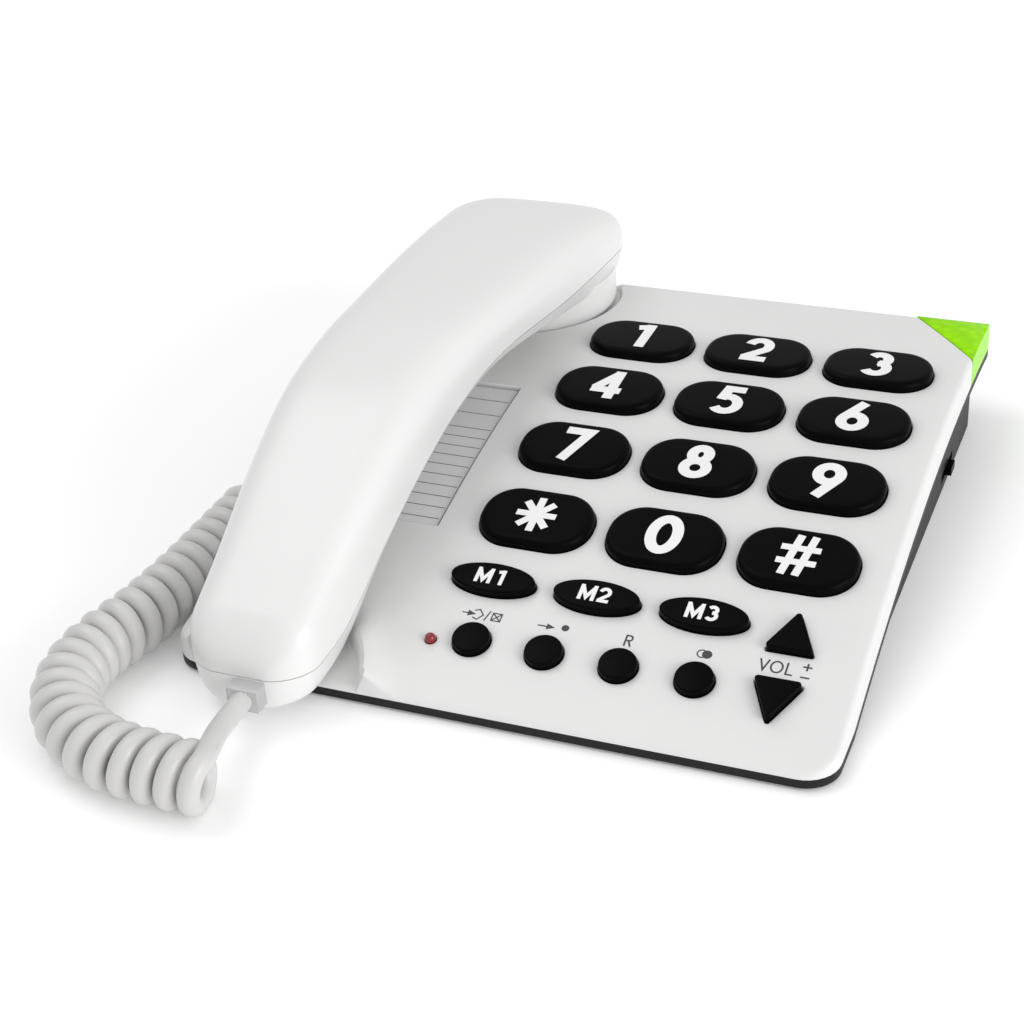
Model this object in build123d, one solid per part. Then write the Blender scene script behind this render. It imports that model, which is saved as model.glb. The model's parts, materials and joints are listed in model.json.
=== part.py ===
"""Corded desk telephone with large keys, in millimetres.

X runs to the right, Y to the rear and Z up. The origin is on the table, under the centre of the box
that holds the base and the handset. The curly handset cord lies outside that box.
"""
from build123d import *
from math import asin, cos, radians, sin, tan
import os

os.makedirs("parts", exist_ok=True)

# ---------------------------------------------------------------- base: driving dimensions
BODY_WIDTH = 158.0
BODY_FRONT = -86.7
BODY_REAR = 94.0
REAR_RAKE = 4.6            # the rear face leans forward by this much at its top
FRONT_CORNER_R = 8.0
REAR_CORNER_R = 4.0
ARC_R = 395.0              # the top face is an arc along Y
ARC_APEX_Y = 52.6
ARC_TOP_Z = 29.3
ARC_END_Y = -62.0          # forward of this line the top face runs on straight
BEVEL_Y = -79.0            # and forward of this one it drops to the lip
BEVEL_SLOPE = 0.42
WALL = 2.2
SHELL_DEPTH = 7.8          # from the top face down to the upper case's lower edge
LIP_Z = 3.0                # the upper case's lower edge at the front
RIM = 2.2                  # the lower case's rim under the upper case
BASE_Z = 0.8               # underside of the lower case, which stands on its feet
FLOOR = 1.8
WEDGE_INSET = 2.5          # the lower case's walls stand in from its rim
WEDGE_REAR = 80.0
GAP = 0.25                 # round a key in its opening
SLIP = 0.1                 # round a piece that is set into a pocket

# ---------------------------------------------------------------- keys
KEYPAD_X = 25.2
KEY_PITCH_X = 32.0
KEY_PITCH_Y = 27.22        # measured along the arc
ROW_1_Y = 49.6
DIGIT_SIZE = (28.0, 18.8)
DIGIT_CORNER_R = 8.6
DIGIT_HEIGHT = 2.6
DIGIT_TRAVEL = 1.8
MEMORY_SIZE = (10.4, 4.4)  # half length and half width of the oval
MEMORY_HEIGHT = 2.2
MEMORY_TRAVEL = 1.2
MEMORY_X = (-10.1, 15.4, 40.9)
MEMORY_Y = -52.0
ROUND_R = 4.4
ROUND_HEIGHT = 2.0
ROUND_TRAVEL = 0.9
ROUND_X = (-9.1, 8.5, 26.1, 43.7)
ROUND_Y = -69.0
VOLUME_BASE = 11.2
VOLUME_LENGTH = 11.4
VOLUME_HEIGHT = 2.0
VOLUME_X = 61.8
VOLUME_UP_Y = -57.7        # base line of each triangle
VOLUME_DOWN_Y = -65.6
FLANGE = 0.8               # the flange under the case that keeps a key in
FLANGE_THICKNESS = 0.6
DOME_CLEARANCE = 0.2

# ---------------------------------------------------------------- fittings of the base
BOARD_X = (-21.0, 71.5)
BOARD_Y = (-72.0, 62.0)
BOARD_FRONT_Z = 4.3        # top of the board at its front edge
BOARD_TILT = 8.0           # degrees
BOARD_THICKNESS = 1.6
MAT_THICKNESS = 0.9
LED_XY = (-18.7, -70.5)
LED_R = 1.3
CARD_X = (-66.0, -30.4)
CARD_Y = (-37.5, 19.5)
CARD_RECESS = 1.3
COVER_THICKNESS = 0.8
LENS_LINE = ((54.0, 96.4), (80.0, 62.8))   # the corner lens lies outside this line, seen from above
SCREW_XY = ((-70.0, -45.0), (70.0, -46.0), (-70.0, 36.0), (70.0, 67.0))
FEET_XY = ((-62.0, -68.0), (60.0, -68.0), (-62.0, 66.0), (54.0, 68.0))
BOSS_R = 3.4
FOOT_R = 6.0
SOUNDER_XY = (-46.0, -12.0)
SOUNDER_SIZE = (14.0, 6.0)                 # radius and height
SOUND_HOLE_R = 1.2
LAMP_XY = (67.0, 80.0)
LAMP_R = 2.5
JACK_TOP_Z = 12.6
CORD_JACK_INNER_X = -62.0
CORD_JACK_WIDTH = 13.0
LINE_JACK_X = (8.0, 22.0)
LINE_JACK_FRONT = 66.0
LINE_SOCKET = ((10.1, 19.9), (68.0, 90.0), (4.2, 11.2))
KNOB_Y = 49.0
KNOB_TRAVEL = 4.0
KNOB_WIDTH = 4.8
KNOB_FLANGE_WIDTH = 12.0

# ---------------------------------------------------------------- cradle and handset
HANDSET_X = -49.8
EAR_Y = 73.5
EAR_R = 26.0
EAR_BOTTOM_Z = 27.1
DISH_R = 27.0
DISH_Z = 26.6
COLLAR_Y = -90.4
COLLAR_FOOT_R = 33.0
COLLAR_RIM_R = 27.2
COLLAR_HEIGHT = 3.1
CRADLE_R = 25.6
CRADLE_DEPTH = 1.0
PLUNGER_Y = 60.0
PLUNGER_R = 3.0
HOOK_SWITCH_TOP = 11.6
HANDSET_LENGTH = 200.0
HANDSET_WALL = 2.0
HANDSET_EAR_CORNER_R = 20.0
HANDSET_MOUTH_CORNER_R = 10.0
HANDSET_EDGE_R = (2.5, 6.0)                # along the underside and along the top
# stations along the handset: Y, half width, underside Z, top Z
HANDSET_STATIONS = (
    (101.0, 26.4, 32.0, 45.6),
    (75.0, 26.0, 31.5, 48.6),
    (44.0, 23.4, 36.2, 51.6),
    (8.0, 21.6, 40.3, 55.5),
    (-14.0, 20.6, 39.0, 55.9),
    (-36.0, 19.7, 33.2, 52.5),
    (-58.0, 18.7, 21.8, 43.8),
    (-78.0, 17.4, 9.9, 33.1),
    (-90.0, 16.0, 5.2, 26.4),
    (-101.0, 14.6, 5.6, 20.4),
)
PARTING = ((102.0, 41.5), (44.0, 42.6), (7.0, 44.5), (-22.0, 41.2), (-52.0, 29.6), (-78.0, 15.2), (-102.0, 12.4))
MOUTH_XY = (HANDSET_X, -74.0)
MOUTH_TILT = 30.0
WEIGHT_SIZE = (16.0, 36.0, 4.0)
WEIGHT_BOTTOM_Z = 42.4
WEIGHT_Y = 4.0
CAPSULE_R = 16.0
CAPSULE_HEIGHT = 9.0
GASKET_HOLE_R = 12.0
GASKET_THICKNESS = 1.0
MICROPHONE_R = 4.8
BOOT_R = 6.5
HANDSET_SCREW_Y = (45.0, -46.0)

# ---------------------------------------------------------------- curly cord
WIRE_D = 5.0
COIL_D = 16.5
PLUG_SIZE = (7.6, 14.0, 5.6)               # width, length, height
PLUG_OUT = 4.0                             # how far the plug stands out of the base's jack
HANDSET_PLUG_Y = -90.0                     # inner end of the plug
HANDSET_PLUG_Z = 9.0
BASE_JACK_Y = 52.0
BASE_PLUG_Z = 7.4
HANDSET_LEAD = ((-49.8, -104.0, 9.0), (-49.8, -110.5, 9.0), (-48.0, -118.5, 11.0), (-45.4, -125.6, 13.2),
                (-44.4, -131.0, 13.8))
COIL_ROUTE = ((-43.8, -130.7), (-58.5, -130.6), (-72.5, -128.6), (-84.5, -121.4), (-92.0, -109.5), (-93.2, -95.5),
              (-89.6, -81.0), (-88.0, -64.0), (-87.6, -46.0), (-87.4, -28.0))
BASE_LEAD = ((-80.5, 52.0, 7.4), (-88.5, 52.0, 7.4), (-93.0, 44.6, 6.2), (-91.6, 31.0, 3.6), (-87.6, 14.0, 2.8),
             (-86.2, -5.0, 3.2), (-86.8, -19.0, 6.2), (-87.3, -29.0, 8.2))


# ---------------------------------------------------------------- small helpers
def block(x, y, z):
    """A box from its ranges along X, Y and Z."""
    centre = Pos((x[0] + x[1]) / 2, (y[0] + y[1]) / 2, (z[0] + z[1]) / 2)
    return centre * Box(x[1] - x[0], y[1] - y[0], z[1] - z[0])


def post(x, y, z0, z1, radius):
    """An upright cylinder."""
    return Pos(x, y, (z0 + z1) / 2) * Cylinder(radius, z1 - z0)


def save(name, shape):
    shape.label = name
    export_step(shape, f"parts/{name}.step")


# ---------------------------------------------------------------- the curved top face
def surface_tilt(y):
    """Forward tilt of the top face's normal, in radians."""
    return asin((ARC_APEX_Y - max(y, ARC_END_Y)) / ARC_R)


def surface_z(y):
    """Height of the top face at a distance y along the body."""
    arc = ARC_TOP_Z - ARC_R * (1 - cos(surface_tilt(y)))
    straight = max(ARC_END_Y - max(y, BEVEL_Y), 0) * tan(surface_tilt(y))
    return arc - straight - max(BEVEL_Y - y, 0) * BEVEL_SLOPE


def surface_plane(x, y):
    """A plane on the top face: X is the body's X and Z is the outward normal."""
    tilt = surface_tilt(y)
    return Plane(origin=(x, y, surface_z(y)), x_dir=(1, 0, 0), z_dir=(0, -sin(tilt), cos(tilt)))


def surface_path(drop, front, rear):
    """The top face lowered by drop, from rear to front, as edges in Y and Z."""
    def point(y):
        return (y, surface_z(y) - drop)
    arc_front = max(front, ARC_END_Y)
    path = [ThreePointArc(point(rear), point((rear + arc_front) / 2), point(arc_front))]
    stops = [y for y in (ARC_END_Y, BEVEL_Y) if y > front] + [front]
    for start, end in zip(stops, stops[1:]):
        path.append(Line(point(start), point(end)))
    return path


def lower_path(drop, front, rear):
    """The upper case's lower edge, lowered by drop: along the top face, then level at the lip."""
    lip_y = ARC_END_Y - (surface_z(ARC_END_Y) - SHELL_DEPTH - LIP_Z) / tan(surface_tilt(ARC_END_Y))
    along = surface_path(SHELL_DEPTH + drop, lip_y, rear)
    return along + [Line(along[-1] @ 1, (front, LIP_Z - drop))]


def slab(upper, lower, half_width=BODY_WIDTH):
    """A solid between two profiles that both run from rear to front."""
    sides = [Line(upper[0] @ 0, lower[0] @ 0), Line(upper[-1] @ 1, lower[-1] @ 1)]
    face = make_face(Wire(upper + lower + sides))
    return extrude(Plane.YZ * face, half_width, both=True)


def plan(inset, rear=BODY_REAR):
    """The body's rounded outline as a tall solid."""
    half = BODY_WIDTH / 2 - inset
    outline = block((-half, half), (BODY_FRONT + inset, rear - inset), (-10, 60))
    corners = outline.edges().filter_by(Axis.Z).sort_by(Axis.Y)
    outline = fillet(corners[:2], FRONT_CORNER_R - inset)
    corners = outline.edges().filter_by(Axis.Z).sort_by(Axis.Y)
    return fillet(corners[-2:], max(REAR_CORNER_R - inset, 1.0))


def case_solid(inset):
    """The upper case as a filled shape, or its hollow when inset is the wall."""
    front = BODY_FRONT + inset
    rear = BODY_REAR - inset
    solid = slab(surface_path(inset, front, rear - REAR_RAKE), lower_path(inset, front, rear))
    return solid & plan(inset)


# ---------------------------------------------------------------- keys
def digit_outline(grow=0.0):
    return RectangleRounded(DIGIT_SIZE[0] + 2 * grow, DIGIT_SIZE[1] + 2 * grow, DIGIT_CORNER_R + grow)


def memory_outline(grow=0.0):
    return Ellipse(MEMORY_SIZE[0] + grow, MEMORY_SIZE[1] + grow)


def round_outline(grow=0.0):
    return Circle(ROUND_R + grow)


def volume_outline(grow=0.0):
    """A rounded triangle that points to +Y, with the middle of its base at the origin."""
    triangle = Polygon((-VOLUME_BASE / 2, 0), (VOLUME_BASE / 2, 0), (0, VOLUME_LENGTH), align=None)
    triangle = fillet(triangle.vertices(), 0.7)
    return offset(triangle, grow) if grow else triangle


def volume_down_outline(grow=0.0):
    return Rot(0, 0, 180) * volume_outline(grow)


def row_y(row):
    """Y of a digit row, counted from the rear, with the pitch measured along the arc."""
    start = surface_tilt(ROW_1_Y)
    return ARC_APEX_Y - ARC_R * sin(start + row * KEY_PITCH_Y / ARC_R)


def key_list():
    """Every key: name, plane on the top face, outline, height, shoulder radius and travel."""
    keys = []
    names = ("key_1", "key_2", "key_3", "key_4", "key_5", "key_6", "key_7", "key_8", "key_9", "key_star",
             "key_0", "key_hash")
    for index, name in enumerate(names):
        place = surface_plane(KEYPAD_X + (index % 3 - 1) * KEY_PITCH_X, row_y(index // 3))
        keys.append((name, place, digit_outline, DIGIT_HEIGHT, 1.4, DIGIT_TRAVEL))
    for index, x in enumerate(MEMORY_X):
        place = surface_plane(x, MEMORY_Y)
        keys.append((f"memory_key_{index + 1}", place, memory_outline, MEMORY_HEIGHT, 0.5, MEMORY_TRAVEL))
    for name, x in zip(("store_key", "redial_key", "recall_key", "mute_key"), ROUND_X):
        keys.append((name, surface_plane(x, ROUND_Y), round_outline, ROUND_HEIGHT, 0.5, ROUND_TRAVEL))
    up = surface_plane(VOLUME_X, VOLUME_UP_Y)
    down = surface_plane(VOLUME_X, VOLUME_DOWN_Y)
    keys.append(("volume_up_key", up, volume_outline, VOLUME_HEIGHT, 0.3, ROUND_TRAVEL))
    keys.append(("volume_down_key", down, volume_down_outline, VOLUME_HEIGHT, 0.3, ROUND_TRAVEL))
    return keys


def flange_top():
    """Depth of a key's flange under the top face."""
    return WALL + 0.15


def make_key(outline, height, shoulder):
    """A key in its own frame: Z is its line of travel and 0 is the top face of the case."""
    cap = Pos(0, 0, -flange_top()) * extrude(outline(), height + flange_top())
    cap = fillet(cap.faces().sort_by(Axis.Z)[-1].edges(), shoulder)
    flange = Pos(0, 0, -flange_top() - FLANGE_THICKNESS) * extrude(outline(FLANGE), FLANGE_THICKNESS)
    return cap + flange


def key_opening(outline):
    return Pos(0, 0, -WALL * 2) * extrude(outline(GAP), WALL * 4)


# ---------------------------------------------------------------- board and rubber mat under the keys
def board_plane():
    """The top of the main board, with X along the body's X and the origin at its front edge."""
    tilt = radians(BOARD_TILT)
    return Plane(origin=(0, BOARD_Y[0], BOARD_FRONT_Z), x_dir=(1, 0, 0), z_dir=(0, -sin(tilt), cos(tilt)))


def board_layer(z0, z1, margin):
    """A sheet over the board, between two heights above it."""
    length = (BOARD_Y[1] - BOARD_Y[0]) / cos(radians(BOARD_TILT))
    sheet = block((BOARD_X[0] + margin, BOARD_X[1] - margin), (margin, length - margin), (z0, z1))
    return board_plane() * sheet


def make_mat(keys):
    """The rubber mat: a thin sheet with a dome under each key that stops it at the end of its travel."""
    mat = board_layer(0, MAT_THICKNESS, 1.0)
    for name, place, outline, height, shoulder, travel in keys:
        drop = flange_top() + FLANGE_THICKNESS + travel + DOME_CLEARANCE
        top = place * Pos(0, 0, -drop)
        depth = (board_plane().to_local_coords(top.position)).Z / cos(surface_tilt(place.origin.Y))
        if depth > MAT_THICKNESS + 0.2:
            dome = top * Pos(0, 0, -depth / 2) * Cylinder(3.0, depth)
            mat += dome & board_layer(MAT_THICKNESS / 2, 40, 1.0)
        mat -= top * extrude(outline(FLANGE + 0.5), 8)
    mat -= surface_plane(*LED_XY) * Cylinder(LED_R + 0.5, 30)
    return clear_of_bosses(mat)


def clear_of_bosses(sheet):
    """The board and the mat are notched round the upper case's screw bosses."""
    for x, y in SCREW_XY:
        sheet -= post(x, y, 0, 40, BOSS_R + 0.4)
    return sheet


# ---------------------------------------------------------------- base casing
def lens_prism(grow=0.0):
    """The corner of the body that the lens takes, seen from above."""
    start, end = LENS_LINE
    outline = Polygon(start, end, (90, end[1]), (90, 110), (start[0], 110), align=None)
    prism = extrude(outline, 60)
    return Pos(-grow, -grow, 0) * prism


def collar_plane():
    """The cradle at the mouth end stands on the front part of the top face."""
    tilt = surface_tilt(ARC_END_Y)
    z = surface_z(ARC_END_Y) - (ARC_END_Y - COLLAR_Y) * tan(tilt)
    return Plane(origin=(HANDSET_X, COLLAR_Y, z), x_dir=(1, 0, 0), z_dir=(0, -sin(tilt), cos(tilt)))


def make_collar():
    """A low round collar, open to the front, that the mouth end lies in."""
    cone = Pos(0, 0, COLLAR_HEIGHT / 2 - 1) * Cone(COLLAR_FOOT_R + 1.6, COLLAR_RIM_R, COLLAR_HEIGHT + 2)
    collar = collar_plane() * cone
    above_lip = block((-BODY_WIDTH, BODY_WIDTH), (BODY_FRONT, 0), (LIP_Z, 40))
    return collar & plan(0) & above_lip


def make_upper_case(outer, hollow, keys):
    case = outer - hollow
    case += post(HANDSET_X, EAR_Y, DISH_Z - WALL, DISH_Z + 1.8, DISH_R + WALL) & outer
    case += make_collar() - hollow
    case -= post(HANDSET_X, EAR_Y, DISH_Z, 60, DISH_R)
    case -= collar_plane() * Pos(0, 0, 10 - CRADLE_DEPTH) * Cylinder(CRADLE_R, 20)
    case -= post(HANDSET_X, PLUNGER_Y, 10, 40, PLUNGER_R + GAP)
    case -= lens_prism(SLIP)
    for name, place, outline, height, shoulder, travel in keys:
        case -= place * key_opening(outline)
    case -= surface_plane(*LED_XY) * Cylinder(LED_R + SLIP, 20)
    window = block(CARD_X, CARD_Y, (0, 60))
    case -= window & slab(surface_path(-5, -70, 60), surface_path(CARD_RECESS, -70, 60))
    for x, y in SCREW_XY:
        boss = post(x, y, screw_seat() + 2, 40, BOSS_R) & outer
        case += boss
        case -= post(x, y, 0, screw_seat() + 10, 1.4)
    return case


def screw_seat():
    """Height at which a case screw's head bears."""
    return BASE_Z + 2.8


def lower_case_hollow():
    inner_rear = WEDGE_REAR - WALL
    inside = WEDGE_INSET + WALL
    bottom = BASE_Z + FLOOR
    upper = lower_path(-1, BODY_FRONT + inside, inner_rear)
    lower = [Line((inner_rear, bottom), (BODY_FRONT + inside, bottom))]
    return slab(upper, lower) & plan(inside)


def make_lower_case():
    rim = slab(lower_path(0, BODY_FRONT, BODY_REAR), lower_path(RIM, BODY_FRONT, BODY_REAR)) & plan(0)
    top = lower_path(RIM / 2, BODY_FRONT, WEDGE_REAR)
    bottom = [Line((WEDGE_REAR, BASE_Z), (BODY_FRONT, BASE_Z))]
    wedge = slab(top, bottom) & plan(WEDGE_INSET)
    case = rim + wedge - lower_case_hollow()
    for x, y in SCREW_XY:
        case += post(x, y, BASE_Z, screw_seat() + 2, 4.0)
        case -= post(x, y, 0, 20, 1.6)
        case -= post(x, y, 0, screw_seat(), 3.1)
    for x, y in FEET_XY:
        case -= post(x, y, 0, BASE_Z + 0.8, FOOT_R + SLIP)
    for turn in range(6):
        turned = Pos(*SOUNDER_XY, BASE_Z) * Rot(0, 0, 60 * turn)
        case -= turned * Pos(SOUNDER_SIZE[0] / 2, 0, 0) * Cylinder(SOUND_HOLE_R, 10)
    case -= cord_jack_body(SLIP)
    case -= line_jack_body(SLIP)
    case -= knob_slot()
    return case


# ---------------------------------------------------------------- fittings of the base
def cord_jack_body(grow=0.0):
    """The jack in the left wall, for the curly cord."""
    x = (-BODY_WIDTH / 2 + WEDGE_INSET - grow, CORD_JACK_INNER_X + grow)
    half = CORD_JACK_WIDTH / 2 + grow
    return block(x, (BASE_JACK_Y - half, BASE_JACK_Y + half), (BASE_Z + FLOOR, JACK_TOP_Z + grow))


def plug_cavity(length, grow=SLIP):
    """The space that a plug takes in its jack, along -Y from the origin."""
    half_width = PLUG_SIZE[0] / 2 + grow
    half_height = PLUG_SIZE[2] / 2 + grow
    return block((-half_width, half_width), (-length - grow, 1), (-half_height, half_height))


def make_plug():
    """A modular plug along -Y from its inner end, with its latch tab on top."""
    width, length, height = PLUG_SIZE
    body = block((-width / 2, width / 2), (-length, 0), (-height / 2, height / 2))
    body = chamfer(body.faces().sort_by(Axis.Y)[-1].edges(), 0.4)
    return body


def line_jack_body(grow=0.0):
    """The jack in the rear wall, for the line cord."""
    x = (LINE_JACK_X[0] - grow, LINE_JACK_X[1] + grow)
    y = (LINE_JACK_FRONT - grow, WEDGE_REAR + grow)
    return block(x, y, (BASE_Z + FLOOR, JACK_TOP_Z + grow))


def make_line_jack():
    return line_jack_body() - block(*LINE_SOCKET)


def knob_slot():
    half = KNOB_WIDTH / 2 + KNOB_TRAVEL + 1.0
    return block((70, 80), (KNOB_Y - half, KNOB_Y + half), (3.4, 6.0))


def make_ringer_knob():
    """The ringer switch's knob: a grip outside the right wall and a flange inside it."""
    wall_in = BODY_WIDTH / 2 - WEDGE_INSET - WALL
    grip_y = (KNOB_Y - KNOB_WIDTH / 2, KNOB_Y + KNOB_WIDTH / 2)
    flange_y = (KNOB_Y - KNOB_FLANGE_WIDTH / 2, KNOB_Y + KNOB_FLANGE_WIDTH / 2)
    grip = block((wall_in - 0.2, wall_in + WALL + 1.6), grip_y, (3.6, 5.8))
    return grip + block((wall_in - 1.2, wall_in - 0.2), flange_y, (2.9, 6.6))


def make_ringer_switch():
    wall_in = BODY_WIDTH / 2 - WEDGE_INSET - WALL
    return block((wall_in - 8, wall_in - 1.4), (KNOB_Y - 8, KNOB_Y + 8), (BASE_Z + FLOOR, 8.6))


def make_card(z_top, z_bottom, margin):
    """A sheet in the card recess, between two depths under the top face."""
    x = (CARD_X[0] + margin, CARD_X[1] - margin)
    y = (CARD_Y[0] + margin, CARD_Y[1] - margin)
    return block(x, y, (0, 60)) & slab(surface_path(z_top, -70, 60), surface_path(z_bottom, -70, 60))


def make_card_cover():
    """The clear cover, with a finger slit at its rear edge."""
    cover = make_card(0.05, 0.05 + COVER_THICKNESS, 0.15)
    return cover - block((-37.6, -33.1), (CARD_Y[1] - 1.2, CARD_Y[1]), (0, 60))


def make_case_screws():
    screws = []
    for x, y in SCREW_XY:
        seat = screw_seat()
        screw = post(x, y, seat - 1.8, seat, 2.8) + post(x, y, seat, seat + 9, 1.3)
        screws.append(screw - post(x, y, seat - 2, seat - 0.9, 0.9))
    return Compound(screws)


def make_feet():
    feet = []
    for x, y in FEET_XY:
        foot = post(x, y, 0, BASE_Z + 0.8, FOOT_R)
        feet.append(chamfer(foot.faces().sort_by(Axis.Z)[0].edges(), 0.4))
    return Compound(feet)


def make_led():
    led = Pos(0, 0, -2.0) * Cylinder(LED_R, 4.8) + Pos(0, 0, 0.4) * Sphere(LED_R)
    return surface_plane(*LED_XY) * led


def make_hook_switch():
    y = (PLUNGER_Y - 4, PLUNGER_Y + 4)
    return block((HANDSET_X - 10, HANDSET_X + 10), y, (BASE_Z + FLOOR, HOOK_SWITCH_TOP))


def make_hook_plunger():
    """The pin that the handset's ear end holds down, with the flange that keeps it under the dish."""
    flange_z = HOOK_SWITCH_TOP + 6
    pin = post(HANDSET_X, PLUNGER_Y, HOOK_SWITCH_TOP + 0.2, EAR_BOTTOM_Z - 0.3, PLUNGER_R)
    return pin + post(HANDSET_X, PLUNGER_Y, flange_z, flange_z + 2, PLUNGER_R + 1.5)


# ---------------------------------------------------------------- handset
def handset_section(y, half_width, under, top, inset):
    side = half_width - inset
    half_height = (top - under) / 2 - inset
    corners = ((-side, -half_height), (side, -half_height), (side, half_height), (-side, half_height))
    under_r, top_r = HANDSET_EDGE_R
    outline = FilletPolyline(*corners, radius=[under_r, under_r, top_r, top_r], close=True)
    plane = Plane(origin=(HANDSET_X, y, (top + under) / 2), x_dir=(1, 0, 0), z_dir=(0, -1, 0))
    return plane * make_face(outline)


def handset_plan(inset):
    half = HANDSET_LENGTH / 2 - inset
    outline = block((HANDSET_X - 40, HANDSET_X + 40), (-half, half), (-10, 90))
    for side, half_width, radius in ((1, EAR_R, HANDSET_EAR_CORNER_R), (-1, 15.0, HANDSET_MOUTH_CORNER_R)):
        square = block((-half_width + inset, half_width - inset), (-60, 0), (-10, 90))
        corners = square.edges().filter_by(Axis.Z).sort_by(Axis.Y)[-2:]
        rounded = fillet(corners, radius - inset)
        away = block((-60, 60), (-radius + inset, 60), (-20, 100)) - rounded
        outline -= Pos(HANDSET_X, side * half, 0) * Rot(0, 0, 0 if side > 0 else 180) * away
    return outline


def handset_solid(inset):
    """The handset as a filled shape, or its hollow when inset is the wall."""
    sections = [handset_section(*station, inset) for station in HANDSET_STATIONS]
    body = loft(sections) & handset_plan(inset)
    return body + post(HANDSET_X, EAR_Y, EAR_BOTTOM_Z + inset, 38, EAR_R - inset)


def above_parting():
    line = Spline(*PARTING)
    top = Polyline(line @ 0, (102, 90), (-102, 90), line @ 1)
    return extrude(Plane.YZ * make_face(Wire([line] + top.edges())), 200, both=True)


def handset_screw_seat(y):
    """Height at which a handset screw's head bears, clear above the sloping underside."""
    return 38.6 if y > 0 else 31.4


def make_handset_shells(outer, hollow):
    """The upper, back shell and the lower, front shell."""
    upper = above_parting()
    wall = outer - hollow
    back = wall & upper
    front = wall - upper
    for y in HANDSET_SCREW_Y:
        seat = handset_screw_seat(y)
        back += post(HANDSET_X, y, seat + 1.6, 60, 3.4) & outer
        back -= post(HANDSET_X, y, seat, seat + 9, 1.4)
        front += post(HANDSET_X, y, 20, seat + 1.6, 4.4) & outer
        front -= post(HANDSET_X, y, 0, seat + 4, 1.6)
        front -= post(HANDSET_X, y, 0, seat, 3.0)
    for turn in range(6):
        turned = Pos(HANDSET_X, EAR_Y, EAR_BOTTOM_Z) * Rot(0, 0, 60 * turn)
        front -= turned * Pos(GASKET_HOLE_R / 2, 0, 0) * Cylinder(SOUND_HOLE_R, 8)
    front -= mouth_plane() * Cylinder(SOUND_HOLE_R, 12)
    front -= handset_jack_body(SLIP)
    notch = block((HANDSET_X - 4.4, HANDSET_X + 4.4), (-101, -97), (0, HANDSET_PLUG_Z + 3.2))
    return back - notch, front - notch


def mouth_plane():
    tilt = radians(MOUTH_TILT)
    x, y = MOUTH_XY
    return Plane(origin=(x, y, 14.6), x_dir=(1, 0, 0), z_dir=(0, -sin(tilt), cos(tilt)))


def handset_jack_body(grow=0.0):
    x = (HANDSET_X - 6.4 - grow, HANDSET_X + 6.4 + grow)
    return block(x, (-97.4 - grow, -84 + grow), (5.9 - grow, 14.2 + grow))


def handset_plug_place():
    return Pos(HANDSET_X, HANDSET_PLUG_Y, HANDSET_PLUG_Z)


def base_plug_place():
    inner_end = -BODY_WIDTH / 2 + WEDGE_INSET - PLUG_OUT + PLUG_SIZE[1]
    return Pos(inner_end, BASE_JACK_Y, BASE_PLUG_Z) * Rot(0, 0, -90)


def make_handset_screws():
    screws = []
    for y in HANDSET_SCREW_Y:
        seat = handset_screw_seat(y)
        screw = post(HANDSET_X, y, seat - 1.6, seat, 2.6) + post(HANDSET_X, y, seat, seat + 8.4, 1.3)
        screws.append(screw - post(HANDSET_X, y, seat - 2, seat - 0.8, 0.8))
    return Compound(screws)


# ---------------------------------------------------------------- curly cord
def tube(points, diameter, name):
    """A tube along straight runs joined by tangent arcs, each as large as its two runs allow."""
    points = [Vector(*point) for point in points]
    radii = []
    for before, here, after in zip(points, points[1:], points[2:]):
        run = min((here - before).length, (after - here).length)
        turn = radians((here - before).get_angle(after - here))
        radii.append(0.45 * run / tan(turn / 2))
    path = FilletPolyline(*points, radius=radii)
    section = Plane(origin=path @ 0, z_dir=path % 0) * Circle(diameter / 2)
    solid = sweep(section, path=path)
    expected = section.area * path.length
    print(name, "length", round(path.length, 1), "radii", [round(radius) for radius in radii],
          "volume ratio", round(solid.volume / expected, 4))
    return solid


# ---------------------------------------------------------------- build
keys = key_list()
outer_case = case_solid(0)
case_hollow = case_solid(WALL)
save("upper_case", make_upper_case(outer_case, case_hollow, keys))
save("lower_case", make_lower_case())
save("corner_lens", (outer_case & lens_prism()) - case_hollow)
lamp_bottom = surface_z(LAMP_XY[1] - LAMP_R) - SHELL_DEPTH
save("lens_lamp", post(*LAMP_XY, lamp_bottom, lamp_bottom + 4.2, LAMP_R))
save("index_card", make_card(CARD_RECESS - 0.4, CARD_RECESS, 0.6))
save("card_cover", make_card_cover())
save("led_indicator", make_led())
save("keypad_mat", make_mat(keys))
save("main_board", clear_of_bosses(board_layer(-BOARD_THICKNESS, 0, 0)))
save("hook_switch", make_hook_switch())
save("hook_plunger", make_hook_plunger())
save("sounder", post(*SOUNDER_XY, BASE_Z + FLOOR, BASE_Z + FLOOR + SOUNDER_SIZE[1], SOUNDER_SIZE[0]))
save("ringer_switch", make_ringer_switch())
save("ringer_switch_knob", make_ringer_knob())
save("rubber_feet", make_feet())
save("case_screws", make_case_screws())
save("line_jack", make_line_jack())
save("cord_jack", cord_jack_body() - base_plug_place() * plug_cavity(30))
for name, place, outline, height, shoulder, travel in keys:
    save(name, place * make_key(outline, height, shoulder))

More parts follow.
